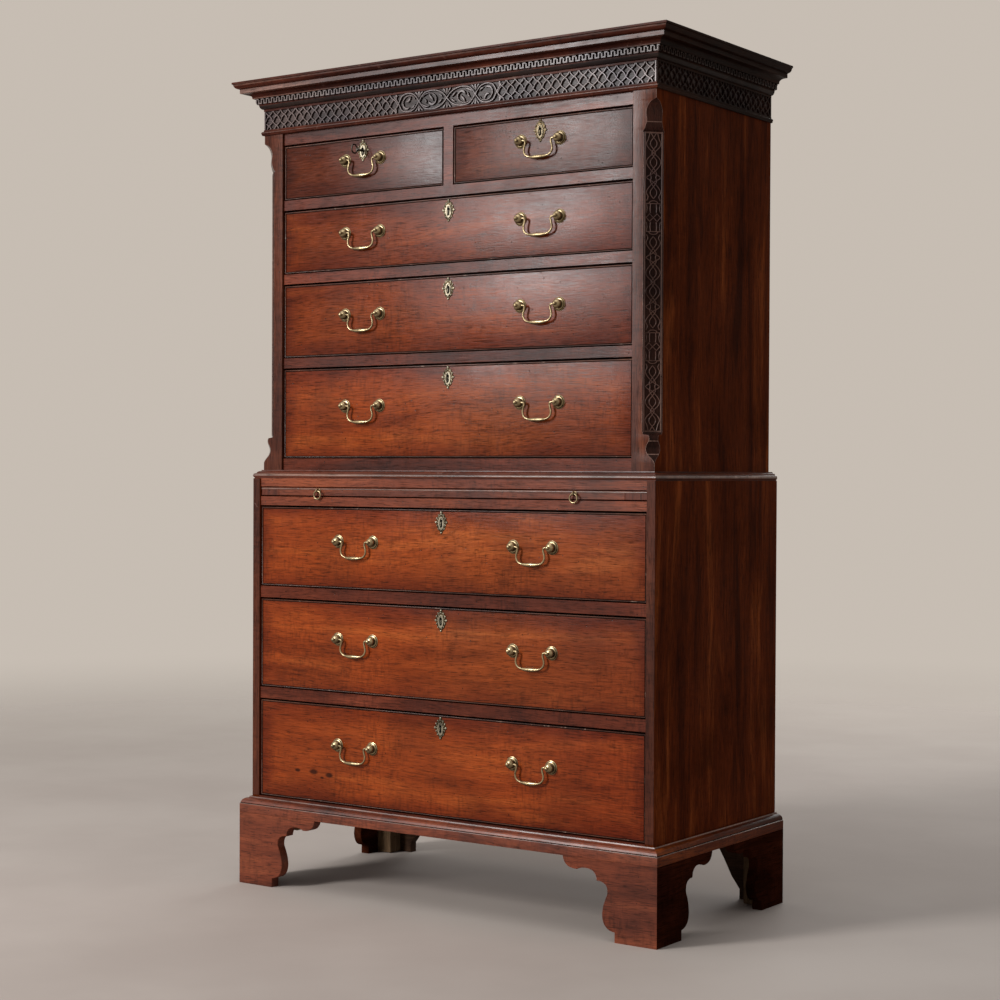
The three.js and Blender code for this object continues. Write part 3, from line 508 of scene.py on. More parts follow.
planks("upper_back_boards", UPPER_IN, UPPER_BACK - 12, UPPER_BACK - 0.3, WAIST, FRIEZE_LOW, 5, "upper_back")
planks("lower_back_boards", LOWER_IN, BACK - 12, BACK - 0.3, CASE_LOW, WAIST, 4, "lower_back")

# Canted corner posts with lamb's-tongue stops and a blind fret between them

# The stops as (height, cant), from the top down
STOP = [(1664, 0.5), (1646, 0.5), (1645, 2), (1643, 7), (1641, 11), (1637.5, 15.5), (1634, 18), (1629, 21),
        (1623, 23), (1617, 23), (1611, 22), (1606, 21.2), (1602, 21.4), (1600.4, 21.8), (1597, 23),
        (1593, 24.5), (1589, 26), (1586, 28.5), (1583.5, 30.5)]
STOP_LOW = [(993, 27), (991.5, 15), (988, 12.8), (984, 12.4), (980.6, 13.2), (979, 13.8), (975, 16.4),
            (970, 19.2), (965, 20.4), (960, 19.8), (954.8, 16.9), (953, 15.4), (950, 12.5), (946, 8), (942, 4),
            (938.5, 1.5), (936, 0.5), (902, 0.5)]
# Heights of thin light strips in the stops: painted highlights on their creases
HIGHLIGHT_LINES = (1602, 980.6, 954.8)
PANEL_TOP, PANEL_LOW = 1582, 997
CANT = 26
# The fret's figures by their length: points of the outer and inner strand as (share of reach, share of length)
LENS, KNOT, CROSSING, SHIELD = 22, 13, 34, 70
FIGURES = {
    LENS: ([(0.75, 0.14), (1, 0.5), (0.75, 0.86)],
           [(0, 0), (0.36, 0.28), (0.46, 0.5), (0.36, 0.72), (0, 1)]),
    KNOT: ([(0, 0.5)], [(-0.24, 0.5)]),
    CROSSING: ([(0, 0.24), (-0.95, 0.5), (0, 0.76)], [(-0.42, 0.28), (-0.32, 0.5), (-0.42, 0.72)]),
}
LINKS = (KNOT, CROSSING, SHIELD, CROSSING, KNOT, CROSSING, SHIELD, CROSSING, KNOT)
FRET = [LENS] + [figure for link in LINKS for figure in (link, LENS)]


def corner_fret(p, to, reach, deep, top):
    """Pointed ovals in pairs, linked by knots, crossing straps and shields. Strands, which have points
    (share of reach, height), are laid with their mirror images, and change sides at each knot."""
    def lay(points, width, sunk):
        p.strap(points, width, deep, top - sunk, to)
    margin = 11
    scale = (PANEL_TOP - PANEL_LOW - 2 * margin) / sum(FRET)
    z = PANEL_TOP - margin
    outer, inner = [(0.55, PANEL_TOP - 3)], [(-0.35, PANEL_TOP - 3)]
    strands = []
    side = 1
    for figure in FRET:
        m = figure * scale
        if figure == SHIELD:
            outer += [(side * 0.95, z - 4)]
            strands += [outer, inner]
            for share in (0.13, 0.87):
                lay([(-reach, z - share * m), (reach, z - share * m)], 1.7, 0.2)
            for s in (-1, 1):
                for a, b in ((0.13, 0.38), (0.62, 0.87)):
                    for end, bow, width, sunk in ((0.4, 0.46, 1.6, 0.3), (0.98, 0.86, 1.4, 0.4)):
                        lay([(s * end * reach, z - a * m), (s * bow * reach, z - (a + b) / 2 * m),
                             (s * end * reach, z - b * m)], width, sunk)
                for peak in (0.4, 0.6):
                    lay([(s * reach, z - m / 2), (s * 0.52 * reach, z - peak * m), (0, z - m / 2)], 1.7, 0.2)
                lay(arc(0, z - (0.5 + s * 0.37) * m, 0.62 * reach, -s * 5.5, turn(24)[:13]), 1.7, 0.2)
            outer, inner = [(side * 0.95, z - m + 4)], []
        else:
            outer += [(side * u, z - v * m) for u, v in FIGURES[figure][0]]
            inner += [(u, z - v * m) for u, v in FIGURES[figure][1]]
        if figure == KNOT:
            side = -side
        z -= m
    outer.append((side * 0.55, PANEL_LOW + 3))
    inner.append((-0.35, PANEL_LOW + 3))
    strands += [outer, inner]
    for k, strand in enumerate(strands):
        line = curve([(share * reach, height) for share, height in strand], 6)
        for s in (-1, 1):
            lay([(s * u, v) for u, v in line], 1.7, 0.12 * (k % 2) + 0.12 * (s > 0))


LEVELS = STOP + [(PANEL_TOP, 30.5), (PANEL_TOP - 0.2, CANT + 2.6), (PANEL_LOW + 0.2, CANT + 2.6),
                 (PANEL_LOW, 27.5)] + STOP_LOW
PANEL_LEVEL = len(STOP) + 1


def post_mat(r, i):
    """The cant is carved wood in the panel, and tongue wood with painted highlight lines in the stops.
    The chamfers beside the cant carry painted highlights.
    """
    if i == 3:
        return 1 if r == PANEL_LEVEL else 3 if LEVELS[r][0] in HIGHLIGHT_LINES else 2
    return {2: 3, 4: 3, 5: 4}.get(i, 0)


for hand, s in HANDS:
    p = Part()
    soft, bit = 0.5, 0.15
    p.loft([[(s * x, y, z) for x, y in (
        (POST_IN, POST_FRONT + soft), (POST_IN + soft, POST_FRONT), (UPPER - cant - soft, POST_FRONT),
        (UPPER - cant + bit, POST_FRONT + bit), (UPPER - bit, POST_FRONT + cant - bit),
        (UPPER, POST_FRONT + cant + soft), (UPPER, POST_BACK), (POST_IN, POST_BACK))]
            for z, cant in LEVELS], post_mat)
    make(f"corner_post_body_{hand}", p, [stile, carved_z, tongue, edge, side_wood], "case",
         (f"corner_post_{hand}",), angle=28)

    centre = Vector((s * (UPPER - CANT / 2), POST_FRONT + CANT / 2, 0))
    across = Vector((s * 1, 1, 0)).normalized()
    outward = Vector((s * 1, -1, 0)).normalized()

    def to(u, v, h):
        q = centre + across * u + outward * h
        return (q.x, q.y, v)
    p = Part()
    wide = CANT * sqrt(2) / 2
    deep, top = -2, -0.1
    for t in (-1, 1):
        p.strap([(t * (wide - 1.4), v) for v in (PANEL_LOW, PANEL_TOP)], 2.6, deep, top, to)
    for v in (PANEL_LOW + 1.6, PANEL_TOP - 1.6):
        p.strap([(-wide + 3, v), (wide - 3, v)], 3, deep, top, to)
    corner_fret(p, to, wide - 4, deep, top)
    make(f"corner_fret_{hand}", p, [carved_z, crest_z], "case")

# Frieze with its astragal

FIELD_LOW, FIELD_TOP = 1677, 1717.5
profile = [(-20, FRIEZE_LOW), (3.2, FRIEZE_LOW), (4.6, FRIEZE_LOW + 1.2)]
profile += arc(1.9, 1669.4, 3.6, 3.6, [radians(a) for a in (-50, -32.5, -15, 2.5, 20, 37.5, 55, 72.5, 90)])
profile += [(1.6, 1674.2), (1.3, 1674.6), (1.3, 1676.6), (-3, FIELD_LOW), (-3, FIELD_TOP), (1.2, 1717.8),
            (1.2, CORNICE_LOW), (-20, CORNICE_LOW)]
field_strip = len(profile) - 5
p = Part()
# Strips 6 and 7 on the astragal's crest are in the light edge wood: painted highlights with wear
p.run(profile, UPPER, POST_FRONT, UPPER_BACK, {field_strip: 3, 6: 2, 7: 2}, side_tags={field_strip: 3})
p.box((-UPPER_IN, FRAME_Y[0], FRIEZE_LOW), (UPPER_IN, FRAME_Y[1], CORNICE_LOW), 4, 0.5)
make("frieze_run", p, [cornice_x, cornice_y, trim, ground, pine_x], "case", ("frieze",))

GROUND, STRAP_TOP, FLARE = -3.1, 1.5, 0.7
PITCH = 22


def lattice(p, to, u0, u1):
    """Two sets of bowed crossing straps between u0 and u1, clipped to the field."""
    lean = PITCH * 1.72
    for way, lift in ((1, 0), (-1, -0.3)):
        k = -int(lean / PITCH) - 2
        while u0 + k * PITCH < u1 + lean:
            pts = []
            for t in (i / 16 for i in range(17)):
                u = u0 + (k + 0.2) * PITCH + lean * (t - 0.045 * sin(4 * pi * t))
                if way < 0:
                    u = u0 + u1 - u
                if u0 <= u <= u1:
                    pts.append((u, FIELD_LOW + (FIELD_TOP - FIELD_LOW) * t))
            if len(pts) > 1:
                p.strap(pts, 2.7, GROUND, STRAP_TOP + lift, to, chamfer=0.8, flare=FLARE)
            k += 1


def front_to(u, v, h):
    """The point u across, v up and h out of the upper case's front."""
    return (u, POST_FRONT - h, v)


def side_to(s):
    """The same for a side, where u is the depth."""
    return lambda u, v, h: (s * (UPPER + h), u, v)


p = Part()
for u0, u1 in ((-502, -130), (130, 502)):
    lattice(p, front_to, u0, u1)
mid = (FIELD_LOW + FIELD_TOP) / 2
for u in (-504.3, 504.3):
    p.strap([(u, FIELD_LOW), (u, FIELD_TOP)], 3, GROUND, 1.4, front_to)
# The middle: one interlaced strand in four mirror images, with leaves between the openings
STRAND = [(0, 0), (8, 8.5), (18, 15), (31, 18.8), (44, 19.2), (57, 16.5), (66, 9), (73, 0), (80, -9),
          (89, -16.5), (103, -19.4), (117, -15.8), (124, -6), (130, 4), (136, 12), (142, 20)]
LEAVES = [
    [(73, 20, 4.6), (73, 13, 3.4), (73, 5, 0.8)],
    [(64, 19.5, 3.2), (68, 15.5, 2.6), (70.5, 9, 0.8)],
    [(82, 19.5, 3.2), (78, 15.5, 2.6), (75.5, 9, 0.8)],
    [(9, 19.5, 3.2), (5.5, 15, 2.6), (2.4, 8, 0.8)],
    [(1.2, 20, 2.4), (1, 13, 2), (0.7, 6, 0.8)],
    [(134, -19.5, 3.4), (134, -12, 3), (131, -4, 0.8)],
]
# Tendrils with their leaves in the right openings as (u, v, width), turned half round in the left ones
TENDRILS = [
    [(64, -8, 1.6), (56, -13, 1.8), (46, -14.5, 2), (36, -12, 2.1), (28.5, -5, 2.2), (29, 4, 2.6),
     (36, 9.5, 3.8), (43.5, 8, 4.4), (48, 2, 0.8)],
    [(46, -14, 1.2), (44, -8, 3.4), (39.5, -3, 3.8), (36, 2, 0.8)],
    [(66, 6, 1.2), (60, 10.5, 3), (53, 13, 3.4), (46.5, 12, 0.8)],
    [(13, 1, 1.2), (18, 5.5, 3.4), (23, 9, 0.8)],
    [(12, -3, 1.2), (16.5, -7.5, 3.2), (22, -9.5, 0.8)],
    [(59, -4, 1), (55, 0, 3), (54, 6, 0.8)],
    [(84, -6, 1.6), (88, -11.5, 1.8), (96, -14, 2), (106, -13, 2.1), (113.5, -7, 2.2), (116, 1, 2.6),
     (113, 9, 3.6), (106, 12.5, 4.2), (98.5, 11, 0.8)],
    [(96, -13, 1.2), (98, -6.5, 3.6), (103, -2, 4), (108.5, -3.5, 0.8)],
    [(84, 5, 1.2), (88, 10, 3.4), (94, 12.5, 0.8)],
]


def carve(points, q, w, sunk, chamfer=0.6):
    """A strap of the middle, mirrored by q and w. Its points may bring their widths."""
    p.strap([(q * u, mid + w * v, *own) for u, v, *own in points], 2.8, GROUND, STRAP_TOP - sunk, front_to,
            chamfer=chamfer, flare=FLARE)


for q in (-1, 1):
    for w in (-1, 1):
        strand = [(u, v) for u, v in curve(STRAND, 5) if u <= 139 and abs(v) <= 20.2]
        carve(strand, q, w, 0.25 * (q * w > 0), 0.7)
        for k, points in enumerate(LEAVES):
            carve(curve(points, 4), q, w, 0.5 + 0.06 * k)
    for k, points in enumerate(TENDRILS):
        carve(curve(points, 5), q, q, 0.3 + 0.07 * k)
make("frieze_fret_front", p, [groove, crest], "case")
for hand, s in HANDS:
    p = Part()
    lattice(p, side_to(s), POST_FRONT + 4, UPPER_BACK - 3)
    for u in (POST_FRONT + 1.7, UPPER_BACK - 2):
        p.strap([(u, FIELD_LOW), (u, FIELD_TOP)], 3, GROUND, 1.4, side_to(s))
    make(f"frieze_fret_{hand}", p, [carved_z, carved_y], "case")

# Cornice with a meander dentil band

BAND_LOW, BAND_TOP = 1732.6, 1745
profile = [(-20, CORNICE_LOW), (1.6, CORNICE_LOW)]
profile += arc(1.6, BAND_LOW, 7.4, 10.6, [asin(t) - pi / 2 for t in (0.25, 0.5, 0.72, 0.88, 0.97, 1)])
profile += [(9.4, BAND_LOW), (12.6, BAND_LOW + 0.2), (12.6, BAND_TOP - 0.2), (19, BAND_TOP), (19.6, 1746.8)]
profile += arc(30, 1747.2, -10.4, 7.8, (0.2, 0.45, 0.7, 0.95, 1.2, 1.42))
profile += [(29.4, 1755.4), (38.4, 1755.8), (39, 1756.3), (39, 1764.8), (40.4, 1765.3)]
profile += arc(40.4, 1775.2, 9.2, 9.6, [a - pi / 2 for a in (0.3, 0.6, 0.9, 1.2, 1.5)])
profile += [(50.4, 1775.2), (51.6, 1775.6), (52, 1776.2), (52, 1779.4), (51.4, CORNICE_TOP), (-20, CORNICE_TOP)]
count = len(profile)
shaded = dict.fromkeys((2, 3, 4, 5, 9, 10), 4)
# The cornice's light edge lines: wear with painted highlights
worn_and_highlit_edges = dict.fromkeys((7, 11, 19, 21, 27, count - 6, count - 5, count - 3), 2)
p = Part()
p.run(profile, UPPER, POST_FRONT, UPPER_BACK, {**shaded, **worn_and_highlit_edges}, side_tags=shaded)
for y0, y1 in ((38.5, 265), (265.6, FRAME_Y[1])):
    p.box((-UPPER_IN - 0.5, y0, 1762.4), (UPPER_IN + 0.5, y1, 1772), 3, 0.8)
p.box((-UPPER_IN, FRAME_Y[0], CORNICE_LOW), (UPPER_IN, FRAME_Y[1], 1762), 3, 0.5)
make("cornice_run", p, [cornice_x, cornice_y, trim, pine_x, groove], "case", ("cornice",), angle=30)


def meander(p, to, u0, u1, mat):
    """A square wave of blocks: uprights joined at the top and at the bottom in turn."""
    count = round((u1 - u0) / 7.5)
    step = (u1 - u0) / count
    bar, thick, h0, h1 = 2.7, 2.6, 11.8, 15.8
    low, top = BAND_LOW + 0.2, BAND_TOP - 0.1

    def block(a, b, c, d):
        p.loft([[to(u, z, h) for z, h in ((c, h0), (c, h1), (d, h1), (d, h0))] for u in (a, b)], mat)
    for k in range(count):
        u = u0 + (k + 0.5) * step
        left, right, next_right = u - bar / 2, u + bar / 2, min(u + step + bar / 2, u1)
        block(left, right, low + thick, top - thick)
        if k % 2:
            block(left, next_right, low, low + thick)
        block(left, right if k % 2 else next_right, top - thick, top)


p = Part()
meander(p, front_to, -UPPER - 15, UPPER + 15, 0)
for s in (-1, 1):
    meander(p, side_to(s), POST_FRONT - 11, UPPER_BACK, 1)
make("cornice_dentils", p, [dentil, carved_y], "case")

# Waist moulding, base moulding

profile = [(-18.7, WAIST), (-18.7, 920.5), (-15.2, 920.5), (-14.9, 918.6)]
profile += arc(-14.9, 913.8, 8.6, 4.4, [pi / 2 - a for a in (0.3, 0.7, 1.1, 1.5)])
profile += [(-5.9, 913.4), (-4.2, 913.2)]
profile += arc(-4.4, 908.3, 4.998, 4.9, (1.4, 1, 0.6, 0.2, -0.2, -0.6, -1))
profile += [(-2.5, 903.6), (-2.5, WAIST)]
p = Part()
# Strips 3 and 8 are painted shade in the grooves, and strips 11 to 13 a painted highlight with wear on the
# torus
p.run(profile, LOWER, 0, BACK, {3: 3, 8: 3, 11: 2, 12: 2, 13: 2}, ratio=14 / 19)
make("waist_moulding_run", p, [waist_x, mould_y, edge, groove_shade], "case", ("waist_moulding",), angle=30)

BASE_OUT = 20
profile = [(0, CASE_LOW), (BASE_OUT - 0.6, CASE_LOW), (BASE_OUT, CASE_LOW + 0.6), (BASE_OUT, 176.4),
           (19.7, 177.4), (18.9, 177.8)]
profile += arc(5.4, 178.2, 13.2, 11.4, (0.1, 0.4, 0.7, 1, 1.3, 1.5))
profile += [(5.2, 189.9), (5, 190.6), (4.4, 192.5), (0, 192.5)]
p = Part()
# Strip 5 is painted shade in the quirk, and strips 3, 4 and 13 painted highlights with wear on the edges
p.run(profile, LOWER, 0, BACK, {5: 3, 3: 2, 4: 2, 13: 2})
make("base_moulding_run", p, [base_x, mould_y, edge, groove_shade], "case", ("base_moulding",), angle=30)

# Bracket feet


def quadratic(a, b, c, steps=10):
    return [tuple((1 - t) ** 2 * p + 2 * t * (1 - t) * q + t * t * r for p, q, r in zip(a, b, c))
            for t in (k / steps for k in range(1, steps + 1))]


# A foot's outline as (distance from the corner, height), shaped in front and at the sides and plain behind
SHAPED = [(0, 0), (96, 0), (96, 20)]
for bend, end in (((124.3, 22), (125, 52)), ((124.3, 69.5), (113.4, 91.6)), ((109, 117), (138, 117)),
                  ((139.5, 137.5), (160.2, 138.6)), ((174.4, 139.8), (184.2, 134.3)),
                  ((214.7, 132.7), (218, CASE_LOW))):
    SHAPED += quadratic(SHAPED[-1], bend, end)
SHAPED.append((0, CASE_LOW))
PLAIN = [(0, 0), (92.8, 0), (92.8, 22), (112, 47.4), (131, 83.7), (154, 123.2), (175, CASE_LOW), (0, CASE_LOW)]
BRACKET_THICK = 22


def bracket(p, outline, to, mat, c=0.9):
    """A bracket whose corner end is mitred. to(u, z, d) puts distance u from the corner and depth d."""
    def ring(depth, inset):
        pts = []
        for i, (u, z) in enumerate(outline):
            a, b = outline[i - 1], outline[(i + 1) % len(outline)]
            du, dz = b[0] - a[0], b[1] - a[1]
            size = hypot(du, dz)
            if u == 0:
                pts.append(to(depth + 0.12, z, depth))
            elif z in (0, CASE_LOW):
                pts.append(to(u - inset, z, depth))
            else:
                pts.append(to(u - dz / size * inset, z + du / size * inset, depth))
        return pts
    p.loft([ring(0, c), ring(c, 0), ring(BRACKET_THICK, 0)], mat)


for hand, s in HANDS:
    corner_x = s * (LOWER + BASE_OUT)
    for where, end, corner_y in (("front", -1, -BASE_OUT), ("rear", 1, BACK)):
        p = Part()
        bracket(p, SHAPED if end < 0 else PLAIN, lambda u, z, d: (corner_x - s * u, corner_y - end * d, z), 0)
        bracket(p, SHAPED, lambda u, z, d: (corner_x - s * d, corner_y - end * u, z), 1)
        # The upright glue block, and the one along the moulding
        for wide, deep, z, c in ((62, 62, 1, 1.2), (150, 44, 128, 1.5)):
            x0, x1 = sorted(corner_x - s * u for u in (BRACKET_THICK + 0.2, wide))
            y0, y1 = sorted(corner_y - end * u for u in (BRACKET_THICK + 0.2, deep))
            p.box((x0, y0, z), (x1, y1, CASE_LOW - 0.2), 2, c)
        facing = foot_x if end < 0 else stained
        make(f"foot_{where}_{hand}_bracket", p, [facing, foot_y, block], "case",
             (f"foot_{where}_{hand}",))

# Drawers

PLATE_EDGE = [(0, 24), (2.3, 23), (2.7, 20.9), (1.9, 19.2), (4.6, 18.6), (7.4, 17.2), (9, 14.8), (8.4, 12.6),
              (10.8, 11.7), (12.9, 9.4), (12.7, 6.6), (11.1, 4.9), (13.4, 4.5), (15.6, 2.8), (15.9, 0.3),
              (14.4, -1.8), (11.7, -2.2), (12.5, -5), (11.9, -8), (9.8, -9.8), (10.1, -12.3), (8.7, -14.9),
              (6.1, -16.3), (4.4, -18), (2.5, -19.2), (2.6, -21.7), (1.3, -23.6), (0, -24)]
# The right half's scrolls as lines, and its knobs as (u, v, radius) with those of the middle after them
SCROLLS = [[(4.2, 8.4), (6.4, 11.6), (5.2, 15), (2.2, 15.6)], [(5.6, 2.5), (9, 5.2), (10.4, 8.4)],
           [(5.6, -0.6), (9.5, 0.6), (13.6, 0.8)], [(5.2, -5.2), (8.4, -3.6), (10.6, -5.6)],
           [(3.6, -9.8), (6.2, -11.6), (8.4, -12)], [(0.8, -12), (1.2, -15), (2.6, -17.6)]]
KNOBS = [(13.8, 0.6, 2.6), (11.2, 9, 1.9), (7.4, 15.6, 1.3), (10.9, -6.6, 1.4), (7.6, -13.8, 1.2)]
MIDDLE_KNOBS = [(21.2, 2.5), (-21.2, 2.4), (17, 1.9)]
PLATE_FOOT = -0.1


def lock_plate(name, x, face, z, body):
    """A pierced plate: a scrolled rim with knobs, an inner rim round the keyhole and scrolls between them."""
    p = Part()

    def on_face(u, v, h):
        return (x + u, face - h, z + v)
    half = [(u * 0.9, v * 0.94) for u, v in PLATE_EDGE]
    rim = half + [(-u, v) for u, v in half[-2:0:-1]]
    p.strap(rim, 2.3, PLATE_FOOT, 1.4, on_face, (2, 2), closed=True, chamfer=0.8)
    inner = [(5.6 * sin(a), -1.5 + 12.2 * cos(a)) for a in turn(28)]
    p.strap(inner, 4.2, PLATE_FOOT, 2, on_face, (2, 0), closed=True, chamfer=0.8)
    for s in (-1, 1):
        for points in SCROLLS:
            line = [(s * u, v) for u, v in curve(points, 3)]
            p.strap(line, 1.8, PLATE_FOOT, 1.2, on_face, (2, 0), chamfer=0.5)
        for u, v, r in KNOBS:
            p.lathe([(r, 0), (r, 0.9), (0.75 * r, 1.9), (0, 2.3)], on_face(s * u, v, 0))
    for v, r in MIDDLE_KNOBS:
        p.lathe([(r, 0), (r, 1), (0.75 * r, 2.1), (0, 2.6)], on_face(0, v, 0))
    keyhole = [(2.9 * sin(a), 3.4 + 2.9 * cos(a)) for a in (radians(k) for k in range(-150, 151, 20))]
    keyhole += [(2.1, -9.6), (-2.1, -9.6)]
    # A dull dark sheet fills the piercings: the dark wood seen through them, with painted shade. The field
    # round the keyhole is brass, and the keyhole's sheet is near-black: painted shade.
    for outline, height, mat in ((rim, 0.12, 2), (inner, 0.25, 0), (keyhole, 0.4, 1)):
        p.loft([[on_face(u, v, h) for u, v in outline] for h in (PLATE_FOOT, height)], mat)
    rubbed = brass_dark if body == "short_right" else brass_pale
    make(name, p, [rubbed, hole, brass_dull], body)


# Rose, pommel and ball as (radius, height), and half a bail as (u, drop)
POST = [(14.2, -0.4), (14.5, 0.3), (14.3, 1), (13.4, 1.5), (12.5, 1.6), (12.2, 2), (11.9, 2.7), (10.9, 3.2),
        (9.6, 3.3), (9.1, 3.8), (7.6, 4.4), (6.4, 4.9), (6.1, 5.5), (7.3, 6.1), (8.7, 7.2), (9.5, 8.7),
        (9.6, 10), (9.2, 11.6), (8.2, 13.1), (6.7, 14.3), (4.8, 15.2), (3.1, 15.6), (2.3, 16), (2.3, 16.5),
        (3.3, 17), (4, 18), (4.1, 19.2), (3.5, 20.4), (2.3, 21.2), (0.9, 21.6), (0, 21.7)]
BAIL = [(0, 35.5), (12, 35.3), (20.5, 34.2), (27.5, 31.8), (32, 27.6), (34.1, 22.5), (34.2, 17.5), (32.8, 12),
        (31.5, 7.6), (31.3, 4.2), (32.2, 1.6), (34.4, 0.3), (37.5, 0), (41, 0)]
# Rings of the post in dull brass: patina in its grooves and neck, and painted shade under the pommel
PATINA_AND_SHADE_RINGS = (0, 3, 4, 5, 8, 9, 10, 11, 12, 22, 23)
HINGE_OUT = 9
HALF_BORING = 47.5
FRONT_THICK = 20


def handle(name, x, face, z, body, bail_body, bail_node):
    """Two posts with their square nuts behind the front, and the bail that hangs between them."""
    p = Part()
    behind = face + FRONT_THICK
    for u in (x - HALF_BORING, x + HALF_BORING):
        p.lathe(POST, (u, face, z), sides=36, mat=lambda r, i: 1 if r in PATINA_AND_SHADE_RINGS else 0)
        p.box((u - 6, behind, z - 6), (u + 6, behind + 3.5, z + 6), 1, 0.8)
        p.lathe([(2.4, 0), (2.4, 4.6), (1.9, 5.2), (0, 5.2)], (u, behind, z), (0, 1, 0), 10, 1)
    make(f"{name}_posts", p, [brass, brass_dull], body)
    right = curve(BAIL, 4)
    line = [(-u, v) for u, v in right[:0:-1]] + right

    def radius(i):
        """The grip swells to its middle, which has a ring, and each shank has a small swelling near its top."""
        u, v = line[i]
        if v > 30:
            return 2.15 + 2.1 * max(0, 1 - (u / 21) ** 2) + 0.25 * (abs(u) < 1)
        return 2.1 + 0.3 * exp(-((v - 1.5) / 1.6) ** 2)
    p = Part()
    p.tube([(x + u, face - HINGE_OUT, z - v) for u, v in line], radius, 14)
    for s in (-1, 1):
        p.lathe([(0, -1.1), (1.3, -0.9), (2.1, 0), (1.3, 0.9), (0, 1.1)],
                (x + s * 31.8, face - HINGE_OUT, z - 1.2), (s * 0.9, 0, 0.44), 10)
    make(f"{name}_bail_bar", p, [brass], bail_body, (bail_node,), angle=50)


def dovetails(p, x0, x1, z0, z1, first, shift, y_thin, y_wide, thin, wide, proud, mat):
    """Wedges just proud of both ends of a board. Their spaces begin first above z0 and have them in their
    middle (shift 0.5) or at their borders (shift 0). thin and wide are half heights as shares of a space."""
    spaces = max(3, round((z1 - z0) / 42))
    step = (z1 - z0 - 2 * first) / spaces
    for x, s in ((x0, -1), (x1, 1)):
        for z in (z0 + first + (k + shift) * step for k in range(spaces + (shift == 0))):
            low, high = max(z - wide * step, z0 + 1), min(z + wide * step, z1 - 1)
            wedge = [(y_thin, max(z - thin * step, low)), (y_thin, min(z + thin * step, high)),
                     (y_wide, high), (y_wide, low)]
            p.loft([[(x + s * h, *corner) for corner in wedge] for h in (-0.3, proud)], mat)


# Rings of a drawer front from the back to the field as (inset, y), and the material of the strip after each
FRONT_RINGS = [(0, FRONT_THICK), (0, 4.5), (0, 1.6), (0.1, 0.3), (0.6, -0.6), (1.5, -1), (2.4, -0.6),
               (2.9, 0.3), (3, 1.2), (4.2, 1.2), (4.4, 0.1), (5, 0)]
# Material 2 on the front's edges next to the bead and in the bead's quirk is painted shade of the gaps and the
# quirk
FRONT_STRIPS = (4, 2, 2, 2, 1, 1, 1, 2, 2, 2, 0)


def front_panel(name, x0, x1, z0, z1, face, wood_mat, body, replaced):
    """A drawer front with a rounded cock bead on all four edges and dovetails in its ends."""
    p = Part()
    rings = [[(x0 + c, face + y, z0 + c), (x1 - c, face + y, z0 + c), (x1 - c, face + y, z1 - c),
              (x0 + c, face + y, z1 - c)] for c, y in FRONT_RINGS]
    # The bead's outer strip along the bottom and the right is painted shade of the gap as well
    shaded_bead = ((4, 0), (4, 1))
    p.loft(rings, lambda r, i: 2 if (r, i) in shaded_bead else FRONT_STRIPS[r], cap_mat=(4, 0))
    dovetails(p, x0, x1, z0, z1, 8, 0.5, face + FRONT_THICK, face + 7, 0.28, 0.4, 0.2, 3)
    make(name, p, [wood_mat, bead_wood, groove_shade, oak_y, rail_wood], body, (replaced,), angle=60)


def drawer_box(name, x0, x1, z0, top, y0, y1, body, replaced):
    """Drawer sides, a lower back and a bottom of three boards, with dovetails at the back."""
    p = Part()
    board = 10
    in0, in1, behind = x0 + board, x1 - board, y1 - board
    for a, b in ((x0, in0), (in1, x1)):
        p.box((a, y0, z0), (b, y1, top), 0, 0.8)
    p.box((in0, behind, z0 + 8), (in1, y1 - 0.1, top - 1.5), 1, 0.6)
    third = (in1 - in0) / 3
    for k in range(3):
        p.box((in0 + k * third + 0.1, y0 + 0.1, z0 + 8), (in0 + (k + 1) * third - 0.1, behind, z0 + 15), 0, 0.4)
    dovetails(p, x0, x1, z0, top, 6, 0, y1, behind, 0.09, 0.2, 0.15, 2)
    make(name, p, [oak_y, oak_x, pine_z], body, (replaced,))


def lock_case(name, x, face, z, body):
    """An iron case behind the front, with its brass top plate and four screws."""
    p = Part()
    y0, y1 = face + FRONT_THICK, face + 34
    p.box((x - 30, y0, z - 18), (x + 30, y1, z + 18), 0, 0.8)
    p.box((x - 31, y0 - 0.5, z + 17.6), (x + 31, y1 - 2, z + 19.2), 1, 0.4)
    for u, v in product((-24, 24), (-12, 12)):
        p.lathe([(2.6, 0), (2.4, 0.6), (0, 0.8)], (x + u, y1, z + v), (0, 1, 0), 10, 1)
    make(name, p, [iron, brass_dull], body)


HANDLE_X, SHORT_TOP, LOCK_DOWN = 230, 1639, 30.5
LONG, LEFT, RIGHT = (-HANDLE_X, HANDLE_X), (-HANDLE_X,), (HANDLE_X,)
DRAWERS = [
    # name, x0, x1, z0, z1 of the opening, height of the posts above it, handles, tone of its wood, seed
    ("lower_drawer_1", -LOWER_IN, LOWER_IN, 195.5, 413.5, 129.5, LONG, 1.08, 21),
    ("lower_drawer_2", -LOWER_IN, LOWER_IN, 438.5, 638, 116.5, LONG, 1.08, 22.4),
    ("lower_drawer_3", -LOWER_IN, LOWER_IN, 663, 842.5, 103.5, LONG, 1.06, 23.9),
    ("upper_drawer_1", -POST_IN, POST_IN, 946, 1145.5, 113.5, LONG, 0.97, 24.6),
    ("upper_drawer_2", -POST_IN, POST_IN, 1167.5, 1331, 89, LONG, 0.72, 25.8),
    ("upper_drawer_3", -POST_IN, POST_IN, 1353, 1494, 80, LONG, 0.7, 26.9),
    ("short_drawer_left", -POST_IN, -12, 1516, SHORT_TOP, 74, LEFT, 0.4, 27.7),
    ("short_drawer_right", 12, POST_IN, 1516, SHORT_TOP, 74, RIGHT, 0.42, 28.3),
]
